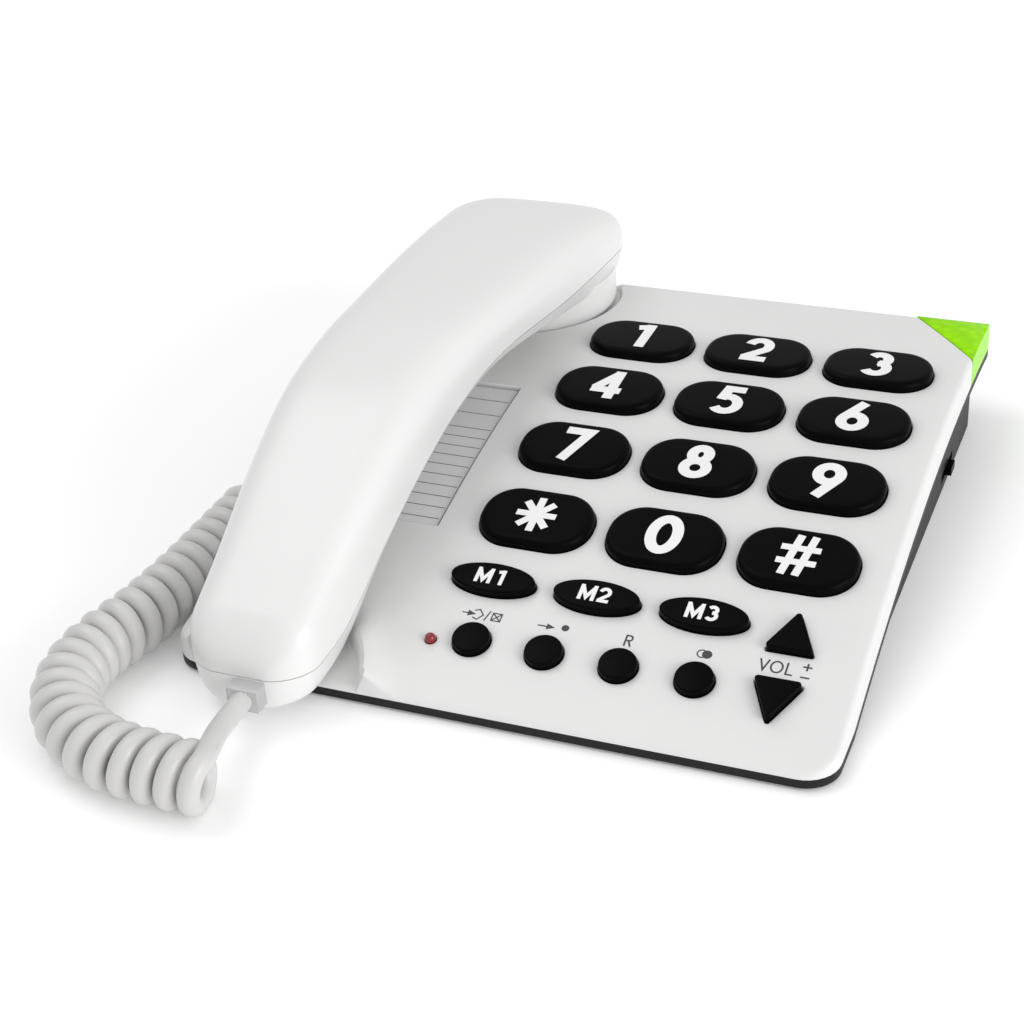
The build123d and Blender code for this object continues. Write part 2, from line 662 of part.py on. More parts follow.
handset_outer = handset_solid(0)
handset_hollow = handset_solid(HANDSET_WALL)
back_shell, front_shell = make_handset_shells(handset_outer, handset_hollow)
save("handset_back_shell", back_shell)
save("handset_front_shell", front_shell)
ear_floor = EAR_BOTTOM_Z + HANDSET_WALL
capsule_z = ear_floor + GASKET_THICKNESS
gasket = post(HANDSET_X, EAR_Y, ear_floor, capsule_z, CAPSULE_R) - post(HANDSET_X, EAR_Y, 0, 60, GASKET_HOLE_R)
save("receiver_gasket", gasket)
save("receiver_capsule", post(HANDSET_X, EAR_Y, capsule_z, capsule_z + CAPSULE_HEIGHT, CAPSULE_R))
boot = mouth_plane() * Pos(0, 0, 2) * (Cylinder(BOOT_R, 9) - Pos(0, 0, 2) * Cylinder(MICROPHONE_R, 9))
save("microphone_boot", (boot - mouth_plane() * Cylinder(SOUND_HOLE_R, 20)) & handset_hollow)
save("microphone_capsule", mouth_plane() * Pos(0, 0, 2.5) * Cylinder(MICROPHONE_R, 5))
save("handset_weight", Pos(HANDSET_X, WEIGHT_Y, WEIGHT_BOTTOM_Z + WEIGHT_SIZE[2] / 2) * Box(*WEIGHT_SIZE))
save("handset_jack", handset_jack_body() - handset_plug_place() * plug_cavity(30))
save("handset_screws", make_handset_screws())

save("handset_plug", handset_plug_place() * make_plug())
save("base_plug", base_plug_place() * make_plug())
save("cord_lead_handset", tube(HANDSET_LEAD, WIRE_D, "handset lead"))
save("cord_coil", tube([(x, y, COIL_D / 2) for x, y in COIL_ROUTE], COIL_D, "coil"))
save("cord_lead_base", tube(BASE_LEAD, WIRE_D, "base lead"))
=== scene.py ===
"""Desk telephone with large keys: the looks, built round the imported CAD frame.

Lengths are in millimetres here. They turn into metres where a mesh, a curve, a light or the camera is made.
"""
import json
import math
import bmesh
import bpy
from mathutils import Matrix, Vector
from mathutils.geometry import delaunay_2d_cdt
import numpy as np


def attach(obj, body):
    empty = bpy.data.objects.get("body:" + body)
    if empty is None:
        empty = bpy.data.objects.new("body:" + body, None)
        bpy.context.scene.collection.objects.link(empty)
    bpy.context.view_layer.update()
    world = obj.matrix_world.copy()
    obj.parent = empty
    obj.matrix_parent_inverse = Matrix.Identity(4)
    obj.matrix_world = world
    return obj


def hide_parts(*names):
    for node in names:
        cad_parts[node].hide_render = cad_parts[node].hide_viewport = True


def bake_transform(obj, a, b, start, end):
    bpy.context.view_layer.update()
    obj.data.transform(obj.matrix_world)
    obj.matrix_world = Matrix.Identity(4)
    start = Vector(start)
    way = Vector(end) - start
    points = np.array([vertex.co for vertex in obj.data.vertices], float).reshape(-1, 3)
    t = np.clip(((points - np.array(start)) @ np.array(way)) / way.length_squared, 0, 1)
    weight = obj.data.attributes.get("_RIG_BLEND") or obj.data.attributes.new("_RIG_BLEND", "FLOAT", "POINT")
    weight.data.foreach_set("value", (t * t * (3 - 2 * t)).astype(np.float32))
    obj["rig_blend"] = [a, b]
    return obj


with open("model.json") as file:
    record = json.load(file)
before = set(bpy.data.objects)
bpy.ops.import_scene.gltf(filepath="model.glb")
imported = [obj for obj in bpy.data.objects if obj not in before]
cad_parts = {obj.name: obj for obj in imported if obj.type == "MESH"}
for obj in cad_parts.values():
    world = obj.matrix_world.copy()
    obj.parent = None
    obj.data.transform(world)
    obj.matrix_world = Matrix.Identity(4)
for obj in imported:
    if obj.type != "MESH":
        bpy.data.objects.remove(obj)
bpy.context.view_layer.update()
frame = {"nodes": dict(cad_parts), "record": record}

MM = 0.001

# ---------------- camera
CAMERA_PLACE = (148.38, -408.84, 266.64)
CAMERA_AZIMUTH = 23.188
CAMERA_ELEVATION = 30.781
CAMERA_ROLL = -3.484
CAMERA_LENS = 69.91

# ---------------- base, as in the CAD but for the collar
HALF_WIDTH = 79.0
BODY_FRONT = -86.7
BODY_REAR = 94.0
REAR_RAKE = 4.6
FRONT_CORNER_R = 8.0
REAR_CORNER_R = 4.0
SHELL_DEPTH = 7.8
LIP_Z = 3.0
WALL = 2.2
GAP = 0.25
LENS_LINE = ((54.0, 96.4), (80.0, 62.8))
LENS_GAP = 0.1
LED_XY = (-18.7, -70.5)
LED_R = 1.3
LED_FIT = 0.1              # its opening is closer to it than GAP by this
PLUNGER_XY = (-49.8, 60.0)
PLUNGER_R = 3.0
DISH_R = 27.0
DISH_Z = 26.6
DISH_EDGE = 0.8
COLLAR_X = -51.6           # the collar is drawn round the turned handset, closer to it than in the CAD
COLLAR_Y = -90.4
COLLAR_FOOT_R = 35.0
COLLAR_RIM_R = 23.0
COLLAR_FLAT = 0.2          # level part of the rim
COLLAR_HEIGHT = 4.2
COLLAR_RISE_X = (11.0, 20.0)    # it rises between these distances to the side, and is low under the handset
COLLAR_SWELL = 1.6         # 1 is an even slope from foot to rim, and more makes the foot flatter
CRADLE_R = 21.4
CRADLE_DEPTH = 1.0
ARC_R = 395.0
ARC_APEX_Y = 52.6
ARC_TOP_Z = 29.3
ARC_END_Y = -62.0
BEVEL_Y = -79.0
BEVEL_SLOPE = 0.42
CARD_X = (-66.0, -30.4)
CARD_Y = (-37.5, 19.5)
CARD_DEPTH = 0.9
CARD_RECESS = 1.3
CARD_CORNER_R = 0.6
CARD_SIDE_STEPS = 24
CARD_WIDE_LINES = 3        # the lines at the rear of the card are further apart
CARD_LINES = 12
CARD_WIDE_PITCH = 6.4
CARD_PITCH = 3.85
CARD_LINE_WIDTH = 0.24
CARD_LINE_RISE = 0.02
CARD_MARGIN = 1.0
CASE_EDGE_R = 1.3
CUT_CORNER_R = 1.0         # at the two ends of the cut for the lens
OPENING_EDGE_R = 0.3
OPENING_DEPTH = 1.9
EDGE_STEPS = 5
OUTLINE_STEPS = 60         # points along each straight side of the case
GRID_STEP = 2.6
GRID_START = (-84.0, -90.0)
GRID_SIZE = (170.0, 190.0)
COLLAR_RING_STEP = 0.9     # between the rings of points round the collar
COLLAR_RING_SIDES = 150
COLLAR_MARGIN = 1.5        # between the grid and the outermost ring
DISH_SIDES = 160
OUTER_MARGIN = 0.5         # the grid stays this far from the case's edge
HOLE_MARGIN = 0.4          # and this far from an opening
JOIN_DISTANCE = 0.02
RIM_EDGE_R = 0.4
LENS_EDGE_R = 0.9
LENS_PRISMS = 330.0        # prisms in a metre
SHARP_EDGE = 30.0          # CAD edges that turn by more degrees than this are softened
WELD_DISTANCE = 0.01

# ---------------- keys, as in the CAD
KEYPAD_X = 25.2
KEY_PITCH_X = 32.0
KEY_PITCH_Y = 27.22
ROW_1_Y = 49.6
DIGIT_SIZE = (28.0, 18.8)
DIGIT_CORNER_R = 8.6
DIGIT_HEIGHT = 2.6
MEMORY_SIZE = (10.4, 4.4)
MEMORY_HEIGHT = 2.2
MEMORY_X = (-10.1, 15.4, 40.9)
MEMORY_Y = -52.0
ROUND_R = 4.4
ROUND_HEIGHT = 2.0
ROUND_X = (-9.1, 8.5, 26.1, 43.7)
ROUND_Y = -69.0
VOLUME_BASE = 11.2
VOLUME_LENGTH = 11.4
VOLUME_CORNER_R = 0.7
VOLUME_HEIGHT = 2.0
VOLUME_X = 61.8
VOLUME_UP_Y = -57.7
VOLUME_DOWN_Y = -65.6
KEY_DEPTH = 2.2            # how far a cap reaches down into its opening
SHOULDER_STEPS = 6
DOME_SCALES = (0.9, 0.75, 0.55, 0.3, 0.08)
# each kind of cap: radius of its shoulder, height of its dome
DIGIT_CROWN = (1.6, 0.15)
MEMORY_CROWN = (0.5, 0.1)
ROUND_CROWN = (0.5, 0.25)
VOLUME_CROWN = (0.35, 0.05)

# ---------------- legends
DIGIT_LEGEND = 13.2        # cap height
DIGIT_NARROW = 0.86        # width of the large digits, as a share of the drawn strokes' width
DIGIT_BOLD = 0.205         # stroke width, in cap heights
SIGN_BOLD = 0.14           # the star and the hash
MEMORY_LEGEND = 4.6
MEMORY_BOLD = 0.2
MEMORY_ADVANCE = 0.9       # from one character to the next, in cap heights
VOLUME_LEGEND = 3.4
VOLUME_BOLD = 0.12
VOLUME_ADVANCE = 0.86
RECALL_LEGEND = 3.2
RECALL_BOLD = 0.13
SYMBOL_LINE = 0.3
SYMBOL_ABOVE_KEY = 7.4
LEGEND_THICKNESS = 0.03
LEGEND_GAP = 0.01

# ---------------- handset
HANDSET_X = -49.8
EAR_Y = 73.5
EAR_R = 26.0
EAR_BOTTOM_Z = 27.1
EAR_TOP_Z = 37.5           # inside the shell
EAR_EDGE_R = 2.0
EAR_SIDES = 96
SOUND_RING_R = 6.0
SOUND_HOLE_R = 1.2
SOUND_HOLE_DEPTH = 2.2
HOLE_SIDES = 16
HANDSET_END = 99.9
ROUNDED_END = 100.0        # where the rounding of both ends would close
# stations along the handset: Y, half width, underside Z, parting line Z, top Z
HANDSET_STATIONS = (
    (100.0, 26.2, 32.0, 41.0, 48.6),
    (75.0, 26.2, 31.5, 41.9, 52.2),
    (44.0, 24.6, 36.2, 42.7, 54.8),
    (8.0, 21.6, 40.3, 44.5, 56.0),
    (-14.0, 20.6, 39.0, 42.6, 55.9),
    (-36.0, 19.7, 33.2, 36.6, 52.5),
    (-58.0, 18.2, 21.8, 26.4, 43.8),
    (-78.0, 16.8, 7.6, 15.4, 33.1),
    (-90.0, 15.9, 4.4, 12.6, 26.4),
    (-100.0, 14.8, 4.2, 12.2, 21.0),
)
EAR_CORNER_R = 20.0
MOUTH_CORNER_R = 9.5
EAR_TOP_R = 12.0           # rounding of the ear end, seen from the side
MOUTH_TOP_R = 8.0
END_FALL = 0.85            # how far the rounded ends fall, as a share of the height over the parting line
HANDSET_TURN = 0.016       # sideways shift of the outside per millimetre from the ear to the mouth
TOP_SQUARENESS = 4.0       # exponent of the section's curve: 2 is an ellipse
UNDER_SQUARENESS = 7.0
UNDER_DRAFT = 0.90         # the underside's width as a share of the width at the parting line
PARTING_GAP = 0.22
HALF_SIDES = 26
HANDSET_RINGS = 110

# ---------------- curly cord, along the CAD's route
WIRE_D = 5.0
COIL_D = 16.5
COIL_PITCH = 5.65
HELIX_STEPS = 14
CORD_SIDES = 12
CORD_STEP = 1.1            # between the rings of points along the cord
STRETCH_SHARE = 0.6        # the part of the cord's length that stretches when the handset is lifted
HANDSET_LEAD = ((-49.8, -104.0, 9.0), (-49.8, -110.5, 9.0), (-48.0, -118.5, 11.0), (-45.4, -125.6, 13.2))
COIL_ROUTE = ((-43.8, -130.7), (-58.5, -130.6), (-72.5, -128.6), (-84.5, -121.4), (-92.0, -109.5),
              (-93.2, -95.5), (-89.6, -81.0), (-88.0, -64.0), (-87.6, -46.0), (-87.4, -28.0))
BASE_LEAD = ((-86.8, -19.0, 6.2), (-86.2, -5.0, 3.2), (-87.6, 14.0, 2.8), (-91.6, 31.0, 3.6),
             (-93.0, 44.6, 6.2), (-88.5, 52.0, 7.4), (-80.5, 52.0, 7.4))

# ---------------- stage
FLOOR_HALF = 3000.0
FLOOR_Z = -0.02
WORLD_STRENGTH = 0.7

# ---------------- materials
# for each: colour, roughness, the grain's scale, depth, swing of tone and swing of roughness, and further
# inputs of the shader
MATERIALS = {
    "white_shell": ((0.74, 0.74, 0.735), 0.42, (2600, 0.012, 0.01, 0.04), {}),
    "handset_white": ((0.78, 0.78, 0.775), 0.36, (900, 0.004, 0.008, 0.04),
                      {"Coat_Weight": 0.15, "Coat_Roughness": 0.2}),
    "case_grey": ((0.007, 0.007, 0.008), 0.5, (1800, 0.05, 0.15, 0.06), {"Specular_IOR_Level": 0.26}),
    "key_black": ((0.002, 0.002, 0.0023), 0.34, (2200, 0.02, 0.2, 0.05), {"Specular_IOR_Level": 0.035}),
    "legend_white": ((0.86, 0.86, 0.86), 0.5, (2200, 0.01, 0.02), {}),
    "print_grey": ((0.05, 0.05, 0.055), 0.6, (2200, 0.01, 0.1), {}),
    "card_paper": ((0.72, 0.715, 0.73), 0.75, (1500, 0.02, 0.03), {}),
    "clear_cover": ((1, 1, 1), 0.08, (200, 0.001), {"Alpha": 0.06, "IOR": 1.45}),
    "lamp_red": ((0.24, 0.012, 0.012), 0.25, (1500, 0.01, 0.2), {"Coat_Weight": 0.4}),
    "lamp_clear": ((0.9, 0.92, 0.9), 0.1, (500, 0.002), {"Transmission_Weight": 0.9, "IOR": 1.5}),
    "mat_rubber": ((0.12, 0.12, 0.13), 0.7, (1500, 0.03, 0.1), {}),
    "board_green": ((0.01, 0.09, 0.03), 0.4, (600, 0.02, 0.2), {}),
    "switch_black": ((0.012, 0.012, 0.013), 0.45, (1500, 0.02, 0.15), {}),
    "foot_rubber": ((0.02, 0.02, 0.02), 0.85, (1500, 0.06, 0.2), {}),
    "screw_steel": ((0.55, 0.55, 0.57), 0.32, (900, 0.01, 0.1), {"Metallic": 1.0}),
    "capsule_metal": ((0.6, 0.6, 0.62), 0.4, (700, 0.02, 0.1), {"Metallic": 1.0}),
    "foam_grey": ((0.08, 0.08, 0.08), 0.9, (1200, 0.2, 0.2), {}),
    "weight_steel": ((0.35, 0.35, 0.36), 0.5, (500, 0.04, 0.15), {"Metallic": 1.0}),
    "plug_clear": ((0.93, 0.94, 0.94), 0.15, (300, 0.005), {"Transmission_Weight": 0.7, "IOR": 1.5}),
    "cord_white": ((0.62, 0.615, 0.605), 0.38, (700, 0.01, 0.02, 0.05),
                   {"Coat_Weight": 0.1, "Coat_Roughness": 0.25}),
}

# the corners of a box's faces, for four corners below and four above
BOX_FACES = ((3, 2, 1, 0), (4, 5, 6, 7), (0, 1, 5, 4), (1, 2, 6, 5), (2, 3, 7, 6), (3, 0, 4, 7))


# ---------------- helpers
def mesh_object(name, points, faces, material, smooth_angle):
    """A new mesh object from points in millimetres, smooth but across edges sharper than smooth_angle."""
    mesh = bpy.data.meshes.new(name)
    mesh.from_pydata([tuple(c * MM for c in point) for point in points], [], faces)
    mesh.polygons.foreach_set("use_smooth", [True] * len(mesh.polygons))
    mesh.set_sharp_from_angle(angle=math.radians(smooth_angle))
    mesh.materials.append(material)
    mesh.update()
    piece = bpy.data.objects.new(name, mesh)
    bpy.context.scene.collection.objects.link(piece)
    return piece


def read_spline(points):
    """Points along a smooth line that has the given points as its control points, in millimetres."""
    data = bpy.data.curves.new("route", "CURVE")
    data.dimensions = "3D"
    data.resolution_u = 8
    spline = data.splines.new("NURBS")
    spline.points.add(len(points) - 1)
    for control, point in zip(spline.points, points):
        control.co = (*[c * MM for c in point], 1.0)
    spline.order_u = 3
    spline.use_endpoint_u = True
    holder = bpy.data.objects.new("route", data)
    bpy.context.scene.collection.objects.link(holder)
    bpy.context.view_layer.update()
    line = bpy.data.meshes.new_from_object(holder.evaluated_get(bpy.context.evaluated_depsgraph_get()))
    result = [Vector(vertex.co) / MM for vertex in line.vertices]
    bpy.data.objects.remove(holder)
    bpy.data.curves.remove(data)
    bpy.data.meshes.remove(line)
    return result


def resample(points, step):
    """The same line with its points a fixed step apart."""
    result = [points[0]]
    spare = 0.0
    for start, end in zip(points, points[1:]):
        length = (end - start).length
        place = step - spare
        while place <= length:
            result.append(start.lerp(end, place / length))
            place += step
        spare = (spare + length) % step
    if (result[-1] - points[-1]).length > step / 4:
        result.append(points[-1])
    return result


def tube(name, line, radius, sides, material):
    """A round tube along a line, with closed ends."""
    points = []
    faces = []
    side = Vector((1, 0, 0))
    for index, place in enumerate(line):
        before = line[max(index - 1, 0)]
        after = line[min(index + 1, len(line) - 1)]
        along = (after - before).normalized()
        side = (side - along * side.dot(along)).normalized()
        up = along.cross(side)
        for step in range(sides):
            angle = 2 * math.pi * step / sides
            points.append(place + (side * math.cos(angle) + up * math.sin(angle)) * radius)
    for ring in range(len(line) - 1):
        for step in range(sides):
            here = ring * sides + step
            beside = ring * sides + (step + 1) % sides
            faces.append((here, here + sides, beside + sides, beside))
    faces.append(tuple(range(sides)))
    faces.append(tuple(reversed(range((len(line) - 1) * sides, len(line) * sides))))
    return mesh_object(name, points, faces, material, 60.0)


# ---------------- making materials
def new_material(name, color, roughness, **inputs):
    """A Principled material; inputs are further sockets by name, with _ for a space."""
    material = bpy.data.materials.new(name)
    material.use_nodes = True
    shader = material.node_tree.nodes["Principled BSDF"]
    shader.inputs["Base Color"].default_value = (*color, 1.0)
    shader.inputs["Roughness"].default_value = roughness
    for key, value in inputs.items():
        shader.inputs[key.replace("_", " ")].default_value = value
    return material


def add_grain(material, scale, distance, tone=0.0, roughness_swing=0.0):
    """Fine moulded grain, with a little variation in tone and gloss. The scale is in grains to a metre."""
    nodes = material.node_tree.nodes
    links = material.node_tree.links
    shader = nodes["Principled BSDF"]
    place = nodes.new("ShaderNodeTexCoord")
    noise = nodes.new("ShaderNodeTexNoise")
    noise.inputs["Scale"].default_value = scale
    noise.inputs["Detail"].default_value = 3.0
    links.new(place.outputs["Object"], noise.inputs["Vector"])
    bump = nodes.new("ShaderNodeBump")
    bump.inputs["Strength"].default_value = 1.0
    bump.inputs["Distance"].default_value = distance * MM
    links.new(noise.outputs["Fac"], bump.inputs["Height"])
    links.new(bump.outputs["Normal"], shader.inputs["Normal"])
    if tone or roughness_swing:
        broad = nodes.new("ShaderNodeTexNoise")
        broad.inputs["Scale"].default_value = scale / 40
        links.new(place.outputs["Object"], broad.inputs["Vector"])
    if tone:
        color = shader.inputs["Base Color"].default_value[:3]
        ramp = nodes.new("ShaderNodeValToRGB")
        ramp.color_ramp.elements[0].position = 0.3
        ramp.color_ramp.elements[1].position = 0.7
        ramp.color_ramp.elements[0].color = (*[c * (1 - tone) for c in color], 1)
        ramp.color_ramp.elements[1].color = (*[min(c * (1 + tone), 1.0) for c in color], 1)
        links.new(broad.outputs["Fac"], ramp.inputs["Fac"])
        links.new(ramp.outputs["Color"], shader.inputs["Base Color"])
    if roughness_swing:
        middle = shader.inputs["Roughness"].default_value
        spread = nodes.new("ShaderNodeMapRange")
        spread.inputs["To Min"].default_value = middle - roughness_swing
        spread.inputs["To Max"].default_value = middle + roughness_swing
        links.new(broad.outputs["Fac"], spread.inputs["Value"])
        links.new(spread.outputs["Result"], shader.inputs["Roughness"])
    return material


def make_materials():
    """The material of each slot by its name, and those of the legends and of the print."""
    made = {"lens_green": make_lens_material()}
    for name, (color, roughness, grain, inputs) in MATERIALS.items():
        made[name] = add_grain(new_material(name, color, roughness, **inputs), *grain)
    return made


def make_lens_material():
    """Lime acrylic with a pattern of small prisms inside, and a faint painted glow that brightens it though
    the lens is not lit.
    """
    # Emission_Strength here is a painted glow: the unlit indicator lens is made to shine a little by itself
    material = new_material(
        "lens_green", (0.25, 0.66, 0.0), 0.2, Specular_IOR_Level=0.03, Emission_Strength=0.1)
    nodes = material.node_tree.nodes
    links = material.node_tree.links
    shader = nodes["Principled BSDF"]
    # colour of the painted glow
    shader.inputs["Emission Color"].default_value = (0.35, 0.9, 0.0, 1)
    place = nodes.new("ShaderNodeTexCoord")
    prisms = nodes.new("ShaderNodeTexVoronoi")
    prisms.inputs["Scale"].default_value = LENS_PRISMS
    links.new(place.outputs["Object"], prisms.inputs["Vector"])
    ramp = nodes.new("ShaderNodeValToRGB")
    ramp.color_ramp.elements[0].color = (0.34, 0.78, 0.0, 1)
    ramp.color_ramp.elements[1].color = (0.2, 0.56, 0.0, 1)
    links.new(prisms.outputs["Distance"], ramp.inputs["Fac"])
    links.new(ramp.outputs["Color"], shader.inputs["Base Color"])
    return add_grain(material, 420, 0.3)


# ---------------- the curved top face
def surface_tilt(y):
    """Forward tilt of the top face's normal, in radians."""
    return math.asin((ARC_APEX_Y - max(y, ARC_END_Y)) / ARC_R)


def surface_z(y):
    """Height of the top face at a distance y along the body."""
    arc_z = ARC_TOP_Z - ARC_R * (1 - math.cos(surface_tilt(y)))
    straight = max(ARC_END_Y - max(y, BEVEL_Y), 0) * math.tan(surface_tilt(y))
    return arc_z - straight - max(BEVEL_Y - y, 0) * BEVEL_SLOPE


def on_surface(x, y):
    """A frame on the top face: X is the body's X and Z is the outward normal."""
    return Matrix.Translation((x, y, surface_z(y))) @ Matrix.Rotation(surface_tilt(y), 4, "X")


# ---------------- outlines and rings
def arc(centre, radii, start, end, steps):
    """Points along an arc of an ellipse, between two angles in degrees."""
    points = []
    for step in range(steps + 1):
        angle = math.radians(start + (end - start) * step / steps)
        points.append((centre[0] + radii[0] * math.cos(angle), centre[1] + radii[1] * math.sin(angle)))
    return points


def ellipse(centre, radii, steps):
    return arc(centre, radii, 0, 360, steps)[:-1]


def rounded_corners(corners, radii, steps):
    """The arcs at the corners of a convex polygon, anticlockwise, one list of points for each corner."""
    arcs = []
    for index, (corner, radius) in enumerate(zip(corners, radii)):
        here = Vector(corner)
        back = (Vector(corners[index - 1]) - here).normalized()
        ahead = (Vector(corners[(index + 1) % len(corners)]) - here).normalized()
        half = back.angle(ahead) / 2
        centre = here + (back + ahead).normalized() * radius / math.sin(half)
        first = here + back * radius / math.tan(half) - centre
        start = math.degrees(math.atan2(first.y, first.x))
        arcs.append(arc(centre, (radius, radius), start, start + 180 - 2 * math.degrees(half), steps))
    return arcs


def rounded_polygon(corners, radius, steps):
    """A convex polygon, anticlockwise, with its corners rounded."""
    return [point for turn in rounded_corners(corners, [radius] * len(corners), steps) for point in turn]


def joined_arcs(arcs, steps):
    """A closed outline of the given arcs and of the straight sides between them, each side in steps."""
    outline = []
    for index, turn in enumerate(arcs):
        start = Vector(turn[-1])
        end = Vector(arcs[(index + 1) % len(arcs)][0])
        outline += turn
        outline += [tuple(start.lerp(end, step / steps)) for step in range(1, steps)]
    return outline


def digit_outline(inset):
    half_x = DIGIT_SIZE[0] / 2 - inset
    half_y = DIGIT_SIZE[1] / 2 - inset
    corners = ((-half_x, -half_y), (half_x, -half_y), (half_x, half_y), (-half_x, half_y))
    return rounded_polygon(corners, DIGIT_CORNER_R - inset, 12)


def memory_outline(inset):
    return ellipse((0, 0), (MEMORY_SIZE[0] - inset, MEMORY_SIZE[1] - inset), 60)


def round_outline(inset):
    return ellipse((0, 0), (ROUND_R - inset, ROUND_R - inset), 48)


def volume_outline(inset, turn=1):
    """A rounded triangle that points along +Y, or along -Y when turn is -1."""
    half = VOLUME_BASE / 2
    slope = math.atan2(VOLUME_LENGTH, half)
    side = half - inset / math.tan(slope / 2)
    corners = ((-side, inset), (side, inset), (0, VOLUME_LENGTH - inset / math.cos(slope)))
    return [(x * turn, y * turn) for x, y in rounded_polygon(corners, VOLUME_CORNER_R, 5)]


def volume_down_outline(inset):
    return volume_outline(inset, -1)


def ring_faces(rings, count):
    """Faces between rings of the same number of points, with the first and last ring filled."""
    faces = []
    for ring in range(rings - 1):
        for step in range(count):
            here = ring * count + step
            beside = ring * count + (step + 1) % count
            faces.append((here, beside, beside + count, here + count))
    faces.append(tuple(reversed(range(count))))
    faces.append(tuple(range((rings - 1) * count, rings * count)))
    return faces


# ---------------- upper case
def smooth_step(value):
    """An even rise from 0 to 1 that starts and ends level."""
    value = min(max(value, 0.0), 1.0)
    return value * value * (3 - 2 * value)


def case_z(x, y):
    """Height of the upper case's outside: the curved face with the collar and the ear cup's dish."""
    tilt = surface_tilt(ARC_END_Y)
    z = surface_z(y)
    away = math.hypot(x - COLLAR_X, (y - COLLAR_Y) / math.cos(tilt))
    if away < COLLAR_FOOT_R:
        plane = surface_z(ARC_END_Y) - (ARC_END_Y - y) * math.tan(tilt)
        inward = min((COLLAR_FOOT_R - away) / (COLLAR_FOOT_R - COLLAR_RIM_R), 1.0)
        rise = smooth_step(inward ** COLLAR_SWELL)
        low, high = COLLAR_RISE_X
        height = COLLAR_HEIGHT * smooth_step((abs(x - COLLAR_X) - low) / (high - low))
        z += rise * (plane + height - z)
        sink = smooth_step((COLLAR_RIM_R - COLLAR_FLAT - away) / (COLLAR_RIM_R - CRADLE_R))
        z += sink * (plane - CRADLE_DEPTH - z)
    into_dish = DISH_R + DISH_EDGE - math.hypot(x - HANDSET_X, y - EAR_Y)
    if into_dish > 0:
        z += smooth_step(into_dish / DISH_EDGE) * min(DISH_Z - z, 0.0)
    return z


def lens_line_x(y):
    """X of the cut for the lens at a distance y along the body."""
    (x0, y0), (x1, y1) = LENS_LINE
    return x0 + (y - y0) * (x1 - x0) / (y1 - y0) - LENS_GAP


def lens_line_y(x):
    """Y of the cut for the lens at a distance x from the middle."""
    (x0, y0), (x1, y1) = LENS_LINE
    return y0 + (x - x0) * (y1 - y0) / (x1 - x0) - LENS_GAP


def case_outline(inset, rear):
    """The upper case seen from above, with the corner cut off where the lens is."""
    side = HALF_WIDTH - inset
    back = rear - inset
    cut = inset / 2
    corners = ((-side, BODY_FRONT + inset), (side, BODY_FRONT + inset), (side, lens_line_y(side) - cut),
               (lens_line_x(back) - cut, back), (-side, back))
    outer_radii = (FRONT_CORNER_R, FRONT_CORNER_R, CUT_CORNER_R, CUT_CORNER_R, REAR_CORNER_R)
    radii = [max(radius - inset, 0.4) for radius in outer_radii]
    return joined_arcs(rounded_corners(corners, radii, 8), OUTLINE_STEPS)


def edge_radius(x, y):
    """Rounding of the case's upper edge, smaller at the low front lip."""
    return min(CASE_EDGE_R, 0.8 * max(case_z(x, y) - LIP_Z, 0.1))


def lower_edge_z(y):
    """Height of the upper case's lower edge."""
    return max(surface_z(y) - SHELL_DEPTH, LIP_Z)


def case_skirt():
    """Loops from the edge of the top sheet over the rounded edge, down the wall and up inside it."""
    top_rear = BODY_REAR - REAR_RAKE
    loops = []
    for step in range(EDGE_STEPS, -1, -1):
        angle = math.pi / 2 * step / EDGE_STEPS
        outer = case_outline(0, top_rear)
        inner = case_outline(CASE_EDGE_R, top_rear)
        loop = []
        for (x0, y0), (x1, y1) in zip(outer, inner):
            share = 1 - math.cos(angle)
            x, y = x0 + (x1 - x0) * share, y0 + (y1 - y0) * share
            loop.append((x, y, case_z(x, y) - edge_radius(x, y) * (1 - math.sin(angle))))
        loops.append(loop)
    loops.append([(x, y, lower_edge_z(y)) for x, y in case_outline(0, BODY_REAR)])
    loops.append([(x, y, lower_edge_z(y)) for x, y in case_outline(WALL, BODY_REAR)])
    return loops


def case_openings():
    """The openings in the top sheet: for each, its loop at the sheet and the loops down its wall."""
    places = []
    for index in range(12):
        place = on_surface(KEYPAD_X + (index % 3 - 1) * KEY_PITCH_X, row_y(index // 3))
        places.append((place, digit_outline))
    places += [(on_surface(x, MEMORY_Y), memory_outline) for x in MEMORY_X]
    places += [(on_surface(x, ROUND_Y), round_outline) for x in ROUND_X]
    places.append((on_surface(VOLUME_X, VOLUME_UP_Y), volume_outline))
    places.append((on_surface(VOLUME_X, VOLUME_DOWN_Y), volume_down_outline))
    places.append((on_surface(*LED_XY), led_outline))
    places.append((Matrix.Translation((*PLUNGER_XY, DISH_Z)), plunger_outline))
    openings = []
    for place, outline in places:
        loops = []
        for grow, depth in ((OPENING_EDGE_R, 0.0), (OPENING_EDGE_R * 0.3, OPENING_EDGE_R * 0.3),
                            (0.0, OPENING_EDGE_R), (0.0, OPENING_DEPTH)):
            loops.append([tuple(place @ Vector((x, y, -depth))) for x, y in outline(-GAP - grow)])
        openings.append(loops)
    return openings


def led_outline(inset):
    """The lamp's outline, like those of the keys: a negative inset makes it larger."""
    return ellipse((0, 0), (LED_R - inset - LED_FIT, LED_R - inset - LED_FIT), 24)


def plunger_outline(inset):
    return ellipse((0, 0), (PLUNGER_R - inset, PLUNGER_R - inset), 32)


